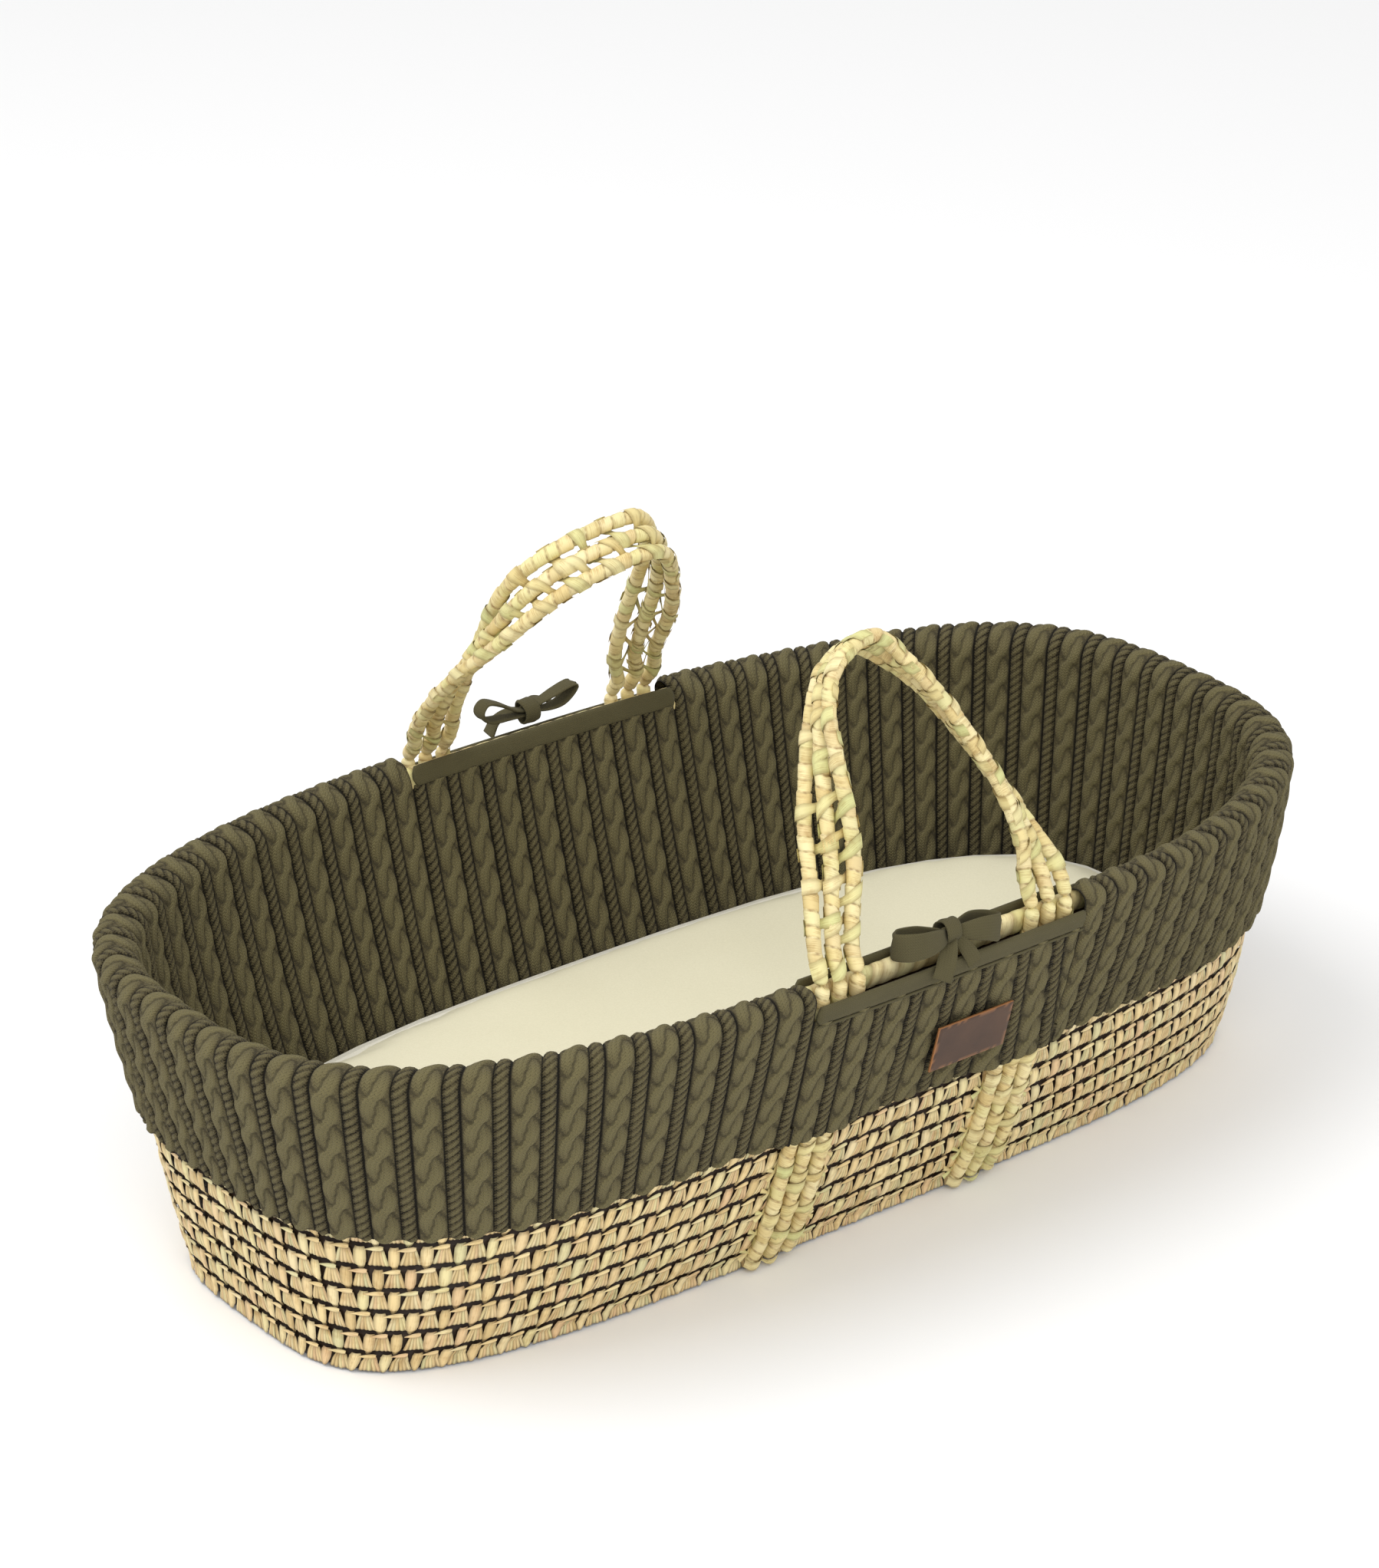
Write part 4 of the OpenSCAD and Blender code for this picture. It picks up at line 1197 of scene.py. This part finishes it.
@dataclass
class Handles:
    """The four straps up the wall and the two laced loops that grow out of them."""

    wall: WallForm
    finishes: Finishes
    cord_r: float = 4.7 * MM
    gap: float = 14.0 * MM
    step: float = 1.25 * MM
    # Handle routes: along the basket, up from the hinge, and twist from the wall's plane
    front_route: tuple = (
        (-77, 0, 0), (-77, 6, 0), (-77, 12, 0), (-75.5, 22, 0), (-70, 40, 6), (-61, 67, 22), (-55, 96, 54),
        (-48, 125, 82), (-40, 153, 101), (-29, 173, 107), (-14, 185, 102), (7, 189, 96), (25, 174, 80),
        (41, 155, 71), (54, 134, 66), (64, 113, 62), (73, 94, 58), (80, 75, 52), (86, 56, 42),
        (90, 38, 26), (91.7, 22, 6), (92, 12, 0), (92, 6, 0), (92, 0, 0))
    rear_route: tuple = (
        (-77, 0, 0), (-77, 6, 0), (-77, 12, 0), (-79, 22, 0), (-85, 38, 0), (-90, 67, 8), (-91, 95, 20),
        (-89, 120, 36), (-85, 146, 60), (-80, 168, 80), (-72, 187, 90), (-60, 201, 90), (-45, 211, 90),
        (-28, 218, 90), (-9, 222, 90), (9, 219, 90), (26, 199, 90), (38, 173, 82), (48, 148, 70),
        (57, 118, 52), (65, 86, 32), (75, 52, 14), (86, 30, 3), (91.2, 19, 0), (92, 12, 0),
        (92, 6, 0), (92, 0, 0))
    leans: tuple[float, float] = (25.5, 37.5)

    def __post_init__(self) -> None:
        """Take the hinge line from the joints, and the straps' places from the frame."""
        place = {j["name"]: j for j in frame["joints"]}["rear_handle_fold"]["pos_m"]
        self.hinge_y, self.hinge_z = place[1], place[2]
        straps = [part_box(f"front_{end}_strap_cords") for end in ("left", "right")]
        self.feet = [(low[0] + high[0]) / 2 for low, high in straps]

    def loop(self, side: Side, lean: float, route: tuple) -> tuple[Array, Array, Array]:
        """The spine, across and face directions of one handle loop."""
        marks = np.array([(x * MM, 0.0, up * MM, twist) for x, up, twist in route])
        line = smooth_route(marks, self.step)
        spine, twist = line[:, :3], np.radians(line[:, 3])
        along = unit(np.gradient(spine, axis=0))
        sign = side.value
        face = unit(np.stack([-along[:, 2] * np.sin(twist), sign * np.cos(twist),
                              along[:, 0] * np.sin(twist)], axis=-1))
        across = np.cross(along, face)
        a = math.radians(sign * lean)
        turn = np.array([[1, 0, 0], [0, math.cos(a), -math.sin(a)], [0, math.sin(a), math.cos(a)]])
        place = np.array([0.0, sign * self.hinge_y, self.hinge_z])
        return spine @ turn.T + place, across @ turn.T, face @ turn.T

    def strap(self, side: Side, x: float) -> tuple[Array, Array, Array]:
        """The spine, across and face directions of one strap up the wall."""
        off = self.wall.half_t + self.cord_r + 0.6 * MM
        levels = np.array([5, 12, 20, 30, 42, 55, 85, 120, 160, 190, 214]) * MM
        points = self.wall.side_point(x, side.value, off, levels)
        points = np.vstack([points, [[x, side.value * self.hinge_y, self.hinge_z]]])
        points[:, 0] = x
        spine = smooth_route(points, self.step)
        along = unit(np.gradient(spine, axis=0))
        across = np.tile([1.0, 0.0, 0.0], (len(spine), 1))
        face = unit(np.cross(along, across)) * 1.0
        face *= np.sign(face[:, 1:2] * side.value)
        return spine, across, face

    def make(self, name: str, strap: LacedStrap, body: str, nodes: list[str], lace: str,
             trim: tuple[float, float]) -> None:
        """Build a strap's cords and its lacing as two pieces."""
        cords, laces = Patchwork(), Patchwork()
        for place in (-1.0, 0.0, 1.0):
            strap.cord(cords, place)
        start, stop = trim[0], strap.run[-1] - trim[1]
        strap.lace(laces, -1.0, 0.0, 22 * MM, 9.5 * MM, 3 * MM, start, stop)
        strap.lace(laces, 0.0, 1.0, 13.5 * MM, 8.5 * MM, 9 * MM, start, stop)
        piece = cords.build(f"{name}_wrapped_cords", strap.material)
        close_ends(piece)
        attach(piece, body)
        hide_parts(*nodes)
        ties = laces.build(f"{name}_leaf_lacing", strap.lace_material)
        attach(ties, body)
        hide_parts(lace)

    def lashings(self) -> None:
        """Tie each strap to the wall's coils with crossed knots down both of its sides."""
        rng = np.random.default_rng(31)
        first = self.wall.first_z
        pitch = (self.wall.rim_z - first) / 12
        work = Patchwork()
        reach = self.gap + self.cord_r + 1.6 * MM
        for x in self.feet:
            for side in (-1, 1):
                for edge in (-1, 1):
                    for row in range(1, 6):
                        z = first + (row - 0.5) * pitch
                        place = self.wall.side_point(x + edge * reach, side, self.wall.half_t + 1.6 * MM, z)
                        for lean in (-1, 1):
                            self.knot_leg(work, place, side, lean, edge, rng)
        piece = work.build("strap_knots", self.finishes.lace)
        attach(piece, "basket")
        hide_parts("strap_lashings")

    def knot_leg(self, work: Patchwork, place: Array, side: int, lean: int, edge: int,
                 rng: np.random.Generator) -> None:
        """One leg of a crossed knot: a short pinched strip with flared ends."""
        u = np.linspace(-1, 1, 9)
        v = np.linspace(-1, 1, 3)
        length = rng.uniform(5.5, 8.0) * MM
        along = unit(np.array([edge * 0.85, 0.25 * side, lean * rng.uniform(0.35, 0.75)]))
        out = np.array([0.0, float(side), 0.2])
        across = unit(np.cross(along, out))
        half = (0.8 + 1.1 * np.abs(u) ** 1.5) * MM
        high = (2.6 - 2.2 * u * u) * MM
        points = (place + along * (u * length)[:, None, None]
                  + across * (half[:, None] * v)[..., None]
                  + unit(out) * (high[:, None] + 0.4 * MM * (1 - v * v))[..., None])
        uv = np.stack(np.broadcast_arrays((v * 1.5)[None, :], (u * 7)[:, None]), axis=-1)
        # painted shade along the leg's edges
        depth = 1.0 - 0.4 * np.abs(v) ** 4 * np.ones((9, 1))
        work.add(points, uv, np.stack([np.full_like(depth, rng.uniform()), depth], axis=-1))

    def build(self) -> None:
        """Make the straps, the loops and the knots."""
        for index, side in enumerate(Side):
            name = side.label
            for k, (label, x) in enumerate(zip(("left", "right"), self.feet)):
                strap = LacedStrap(*self.strap(side, x), self.finishes.cord, self.finishes.lace,
                                   seed=11 + 2 * index + k)
                self.make(f"{name}_{label}_strap", strap, "basket", [f"{name}_{label}_strap_cords"],
                          f"{name}_{label}_strap_lacing", (6 * MM, 12 * MM))
            route = self.front_route if side is Side.FRONT else self.rear_route
            loop = LacedStrap(*self.loop(side, self.leans[index], route), self.finishes.cord,
                              self.finishes.lace, seed=21 + index)
            cords = [f"{name}_handle_{c}_cord" for c in ("outer", "middle", "inner")]
            self.make(f"{name}_handle", loop, f"{name}_handle", cords, f"{name}_handle_lacing",
                      (12 * MM, 12 * MM))
        self.lashings()


# --------------------------------------------------------------------------- bows and patch


@dataclass
class Bow:
    """A bow tied from jersey tape over the middle of a slot."""

    side: Side
    material: bpy.types.Material
    tape_t: float = 2.2 * MM

    def ribbon(self, work: Patchwork, route: list[tuple], widths: list[float], lean: Array) -> None:
        """Run a piece of tape along a route.

        Args:
            work: what to add it to.
            route: places in millimetres from the knot.
            widths: its width at the start, middle and end, in millimetres.
            lean: the direction its width lies along at the start and at the end.
        """
        line = smooth_route(np.array(route, dtype=float), 1.6)
        n = len(line)
        u = np.linspace(0, 1, n)
        wide = np.interp(u, np.linspace(0, 1, len(widths)), widths)
        along = unit(np.gradient(line, axis=0))
        side_way = lean[0] + (lean[1] - lean[0]) * u[:, None]
        thick_way = unit(np.cross(along, side_way))
        side_way = unit(np.cross(thick_way, along))
        a = np.linspace(0, 2 * math.pi, 14, endpoint=False)
        c, s = np.cos(a), np.sin(a)
        x = wide[:, None] / 2 * np.sign(c) * np.abs(c) ** 0.5
        fold = 0.5 * np.sin(3.0 * math.pi * c) * smoothstep(1 - np.abs(2 * u - 1))[:, None]
        y = self.tape_t / MM / 2 * np.sign(s) * np.abs(s) ** 0.8 + fold
        points = line[:, None] + side_way[:, None] * x[..., None] + thick_way[:, None] * y[..., None]
        sign = -float(self.side.value)
        points = points * np.array([sign, sign, 1.0]) * MM + self.centre
        uv = np.stack([x, np.broadcast_to(u[:, None] * n * 1.6, x.shape)], axis=-1)
        work.add(points, uv, 0.5, wrap_cols=True)

    def build(self) -> None:
        """Tie the loops, the tails and the knot."""
        low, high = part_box(f"{self.side.label}_bow_knot")
        self.centre = np.array((low + high) / 2)
        up, out = np.array([0.0, 0.0, 1.0]), np.array([0.0, -1.0, 0.0])
        loops, tails, knot = Patchwork(), Patchwork(), Patchwork()
        if self.side is Side.FRONT:
            stand = (up * 0.9 + out * -0.35, up * 0.8 + out * 0.45)
            self.ribbon(loops, [(3, -3, 0), (12, -8, 1), (24, -11, 0), (35, -8, -4), (39, 0, -6), (34, 6, -5),
                                (22, 7, -1), (10, 4, 1), (3, 1, 0)], [8, 15, 18, 17, 14, 7], stand)
            self.ribbon(loops, [(-3, -3, 0), (-13, -8, 2), (-26, -10, 3), (-37, -6, 3), (-41, 2, 2),
                                (-35, 8, 2), (-22, 8, 2), (-10, 4, 1), (-3, 1, 0)],
                        [8, 15, 19, 18, 14, 7], stand)
            fall = (up * 0.5 + np.array([0.7, 0, 0]), np.array([0.8, 0, 0.5]))
            self.ribbon(tails, [(-1, -5, -2), (-6, -9, -6), (-12, -13, -14), (-17, -15, -22)],
                        [8, 12, 14], fall)
            self.ribbon(tails, [(2, -5, -2), (6, -9, -7), (9, -12, -13), (11, -14, -19)], [7, 10, 11], fall)
        else:
            flat = (out, out)
            self.ribbon(loops, [(3, 0, 2), (12, 0, 5), (24, 0, 12), (35, 0, 16), (40, 0, 10), (34, 0, 3),
                                (20, 0, 1), (3, 0, -1)], [7, 11, 13, 12, 7], flat)
            self.ribbon(loops, [(-3, 0, 1), (-14, 0, -1), (-26, 0, 0), (-34, 0, 5), (-38, 0, 11),
                                (-31, 0, 11), (-16, 0, 7), (-3, 0, 3)], [7, 11, 13, 12, 7], flat)
            self.ribbon(tails, [(-2, -3, 2), (-10, -8, 3), (-20, -12, 0), (-30, -14, -5)], [7, 10, 12], flat)
            self.ribbon(tails, [(2, -3, 1), (9, -8, 0), (17, -13, -6), (22, -15, -16)], [7, 10, 12], flat)
        along = np.array([1.0, 0.0, 0.0])
        self.ribbon(knot, [(0, -6, -3), (-1, -8, 2), (0, -5, 7), (1, 1, 8), (0, 6, 4), (0, 6, -3),
                           (0, 0, -7), (0, -6, -3.5)], [11, 12, 11], (along, along))
        self.ribbon(knot, [(-5, -1, 0), (0, -3, 0.5), (5, -1, 0)], [10, 12, 10], (up, up))
        for label, work in (("knot", knot), ("loops", loops), ("tails", tails)):
            piece = work.build(f"{self.side.label}_tied_{label}", self.material)
            close_ends(piece)
            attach(piece, "basket")
            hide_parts(f"{self.side.label}_bow_{label}")


@dataclass
class LeatherPatch:
    """A plain leather patch on the skirt, with cut edges."""

    wall: WallForm
    material: bpy.types.Material
    thick: float = 2.0 * MM
    rim: float = 0.35 * MM

    def build(self) -> None:
        """Make the patch as a thin slab that follows the skirt."""
        low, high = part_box("leather_patch")
        x, z = np.linspace(low[0], high[0], 24), np.linspace(low[2], high[2], 14)
        reach = np.array([[abs(float(self.wall.side_point(a, -1, 0.0, b)[1])) for a in x] for b in z])
        gap = -low[1] - max(reach[0, 12], reach[-1, 12])
        grid_x, grid_z = np.meshgrid(x, z)
        face = np.stack([grid_x, -(reach + gap), grid_z], axis=-1)
        work = Patchwork()
        inset = face.copy()
        rim = self.rim
        inset[..., 0] = np.interp(grid_x, [x[0], x[-1]], [x[0] + rim, x[-1] - rim])
        inset[..., 2] = np.interp(grid_z, [z[0], z[-1]], [z[0] + rim, z[-1] - rim])
        uv = np.stack([grid_x, grid_z], axis=-1) / MM
        work.add(inset, uv, np.stack([np.full_like(grid_x, 0.5), np.ones_like(grid_x)], axis=-1))
        back = face.copy()
        back[..., 1] += self.thick
        work.add(back, uv, np.stack([np.full_like(grid_x, 0.5), np.zeros_like(grid_x)], axis=-1), flip=True)
        loop = self.border(face)
        loops = np.stack([self.border(inset), loop + np.array([0, rim, 0]), self.border(back)])
        fade = np.broadcast_to(np.array([[0.55], [0.0], [0.0]]), loops.shape[:2])
        work.add(loops, np.zeros(loops.shape[:2] + (2,)), np.stack([np.full_like(fade, 0.5), fade], axis=-1),
                 wrap_cols=True)
        piece = work.build("stitched_leather_patch", self.material)
        merge_and_turn_out(piece)
        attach(piece, "basket")
        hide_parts("leather_patch")

    @staticmethod
    def border(grid: Array) -> Array:
        """The points round a grid's edge, in order."""
        return np.concatenate([grid[0, :-1], grid[:-1, -1], grid[-1, :0:-1], grid[:0:-1, 0]])


def merge_and_turn_out(piece: bpy.types.Object) -> None:
    """Merge a piece's doubled points and point its faces outwards."""
    bpy.ops.object.select_all(action="DESELECT")
    piece.select_set(True)
    bpy.context.view_layer.objects.active = piece
    bpy.ops.object.mode_set(mode="EDIT")
    bpy.ops.mesh.select_all(action="SELECT")
    bpy.ops.mesh.remove_doubles(threshold=0.00002)
    bpy.ops.mesh.normals_make_consistent(inside=False)
    bpy.ops.object.mode_set(mode="OBJECT")


# --------------------------------------------------------------------------- the mattress


@dataclass
class Mattress:
    """The mattress in its fitted sheet: a soft crowned pad, drawn tight over the filling."""

    wall: WallForm
    finishes: Finishes
    square: float = 2.85
    voxel: float = 0.006
    frames: int = 14
    pressure: float = 3.0
    cap: float = 0.005

    def outline(self, count: int, inset: float, z: float) -> Array:
        """The pad's outline, following the wall's lean, set in from its edge."""
        turn = np.linspace(0, 2 * math.pi, count, endpoint=False)
        half_l, half_w, _, mid = (float(h[0]) for h in self.wall.halves(np.array([z])))
        half_l, half_w = half_l - self.room - inset, half_w - self.room - inset
        c, s = np.cos(turn), np.sin(turn)
        x = mid + half_l * np.sign(c) * np.abs(c) ** (2 / self.square)
        y = half_w * np.sign(s) * np.abs(s) ** (2 / self.square)
        return np.stack([x, y, np.full_like(x, z)], axis=-1)

    def shape(self) -> bpy.types.Object:
        """The pad before it is filled out."""
        low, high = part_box("fitted_sheet")
        self.mid_x = (low[0] + high[0]) / 2
        self.edge = ((high[0] - low[0]) / 2, (high[1] - low[1]) / 2)
        widest = float(self.wall.halves(np.array([high[2] - 11 * MM]))[0][0])
        self.room = widest - self.edge[0] + 1.2 * MM
        rise = high[2] - low[2]
        floor = low[2]
        profile = [(70, 0.0), (24, 0.0), (7, 0.5), (2, 4), (0.4, 11), (0, 22), (0, 36), (0.2, 47), (1.5, 53),
                   (5, 57), (12, 59.6), (30, 61.6), (60, 63.2), (100, 64.2)]
        work = Patchwork()
        rings = [self.outline(180, inset * MM, floor + up * MM) for inset, up in profile]
        for ring, (inset, up) in zip(rings, profile):
            ring[:, 2] = floor + min(up * MM, rise)
        rings = np.stack(rings)
        # spread the inner rings to the middle line, below and above
        spine = np.stack([np.clip(rings[0][:, 0], self.mid_x - 0.23, self.mid_x + 0.23), 0 * rings[0][:, 1],
                          rings[0][:, 2]], axis=-1)
        below = [spine + (rings[0] - spine) * t for t in (0.02, 0.5)]
        top_spine = spine.copy()
        top_spine[:, 2] = floor + rise
        above = [rings[-1] + (top_spine - rings[-1]) * t for t in (0.5, 0.98)]
        for layer in above:
            layer[:, 2] = floor + rise
        rings = np.concatenate([np.stack(below), rings, np.stack(above)])
        work.add(rings, rings[..., :2] / MM, 0.5, wrap_cols=True)
        pad = work.build("fitted_sheet_pad", self.finishes.sheet)
        close_ends(pad)
        return pad

    def fill_out(self, pad: bpy.types.Object) -> None:
        """Remesh the pad and let cloth under light pressure settle it, within a cap."""
        remesh = pad.modifiers.new("remesh", "REMESH")
        remesh.mode = "VOXEL"
        remesh.voxel_size = self.voxel
        bpy.ops.object.modifier_apply(modifier=remesh.name)
        start = np.empty(len(pad.data.vertices) * 3, dtype=np.float32)
        pad.data.vertices.foreach_get("co", start)
        cloth = pad.modifiers.new("cloth", "CLOTH")
        cloth.settings.use_pressure = True
        cloth.settings.uniform_pressure_force = self.pressure
        cloth.settings.effector_weights.gravity = 0.0
        cloth.settings.quality = 5
        scene = bpy.context.scene
        for number in range(1, self.frames + 1):
            scene.frame_set(number)
        seen = pad.evaluated_get(bpy.context.evaluated_depsgraph_get())
        end = np.empty_like(start)
        seen.data.vertices.foreach_get("co", end)
        pad.modifiers.remove(cloth)
        scene.frame_set(1)
        move = (end - start).reshape(-1, 3)
        length = np.linalg.norm(move, axis=1, keepdims=True)
        move *= np.minimum(1.0, self.cap / np.maximum(length, 1e-9))
        place = start.reshape(-1, 3) + move
        low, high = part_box("fitted_sheet")
        place[:, 2] = np.clip(place[:, 2], low[2], high[2] + 2.5 * MM)
        pad.data.vertices.foreach_set("co", place.astype(np.float32).ravel())
        pad.data.update()
        log.info("pad settled: mean move %.4f m", float(length.mean()))

    def finish(self, pad: bpy.types.Object) -> None:
        """Smooth the pad and pucker the sheet a little along its edge."""
        smooth = pad.modifiers.new("smooth", "SMOOTH")
        smooth.factor = 0.5
        smooth.iterations = 6
        bpy.ops.object.modifier_apply(modifier=smooth.name)
        co = np.empty(len(pad.data.vertices) * 3, dtype=np.float32)
        pad.data.vertices.foreach_get("co", co)
        p = co.reshape(-1, 3).astype(float)
        angle = np.arctan2(p[:, 1] / self.edge[1], (p[:, 0] - self.mid_x) / self.edge[0])
        radius = np.hypot(p[:, 1] / self.edge[1], (p[:, 0] - self.mid_x) / self.edge[0])
        band = np.exp(-(((radius - 0.93) / 0.05) ** 2)) * smoothstep((p[:, 2] - 0.06) / 0.02)
        pucker = np.sin(angle * 57.0) * np.sin(angle * 23.0 + 1.0) + 0.6 * np.sin(angle * 91.0 + 2.0)
        p[:, 2] += 0.55 * MM * band * pucker
        pad.data.vertices.foreach_set("co", p.astype(np.float32).ravel())
        pad.data.update()
        for polygon in pad.data.polygons:
            polygon.use_smooth = True

    def build(self) -> None:
        """Make the mattress."""
        pad = self.shape()
        pick(pad)
        self.fill_out(pad)
        self.finish(pad)
        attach(pad, "mattress")
        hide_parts("fitted_sheet", "mattress_cover_top")
        for node, finish in (("mattress_core", self.finishes.quilt),
                             ("mattress_cover_bottom", self.finishes.quilt),
                             ("sheet_elastic", self.finishes.elastic)):
            dress(frame["nodes"][node], finish)


# --------------------------------------------------------------------------- stage


@dataclass(frozen=True)
class Stage:
    """A pale floor, soft studio light and the camera."""

    camera_at: tuple[float, float, float] = (-1.7265, -2.1486, 1.5224)
    look_at: tuple[float, float, float] = (0.0, 0.0, 0.120)
    lens: float = 109.3
    shift: tuple[float, float] = (-0.0179, 0.1235)

    def build(self) -> None:
        """Set up the camera, the floor and the lights."""
        data = bpy.data.cameras.new("camera")
        data.lens = self.lens
        data.sensor_width = 36.0
        data.shift_x, data.shift_y = self.shift
        camera = bpy.data.objects.new("camera", data)
        camera.location = self.camera_at
        aim = Vector(self.look_at) - Vector(self.camera_at)
        camera.rotation_euler = aim.to_track_quat("-Z", "Y").to_euler()
        bpy.context.scene.collection.objects.link(camera)
        bpy.context.scene.camera = camera
        bpy.ops.object.select_all(action="DESELECT")
        bpy.ops.mesh.primitive_plane_add(size=30.0)
        floor = bpy.context.object
        floor.name = "floor"
        material, shader = new_material("matt_white_paper")
        feed(shader, {"Base Color": linear("#fafafa"), "Roughness": 0.95, "Specular IOR Level": 0.1})
        floor.data.materials.append(material)
        world = bpy.data.worlds.new("studio")
        bpy.context.scene.world = world
        world.use_nodes = True
        world.node_tree.nodes["Background"].inputs[0].default_value = linear("#ffffff")
        world.node_tree.nodes["Background"].inputs[1].default_value = 0.8
        bpy.context.scene.view_settings.view_transform = "Standard"
        for name, place, size, power in (
            ("key", (-1.7, 0.5, 3.4), 2.4, 60.0),
            ("fill", (-1.4, -3.2, 2.8), 3.0, 60.0),
        ):
            lamp = bpy.data.lights.new(name, "AREA")
            lamp.size = size
            lamp.energy = power
            light = bpy.data.objects.new(name, lamp)
            light.location = place
            light.rotation_euler = (Vector((0, 0, 0.1)) - Vector(place)).to_track_quat("-Z", "Y").to_euler()
            bpy.context.scene.collection.objects.link(light)


def main() -> None:
    """Build every sub-assembly in order."""
    logging.basicConfig(level=logging.INFO, format="%(message)s")
    Stage().build()
    finishes = Finishes()
    wall = WallForm.from_frame()
    log.info("wall %s", wall)
    KnitLiner(wall, finishes).build()
    CoiledWall(wall, finishes).build()
    Handles(wall, finishes).build()
    for side in Side:
        Bow(side, finishes.tape).build()
    LeatherPatch(wall, finishes.leather).build()
    Mattress(wall, finishes).build()


if __name__ == "__main__":
    main()
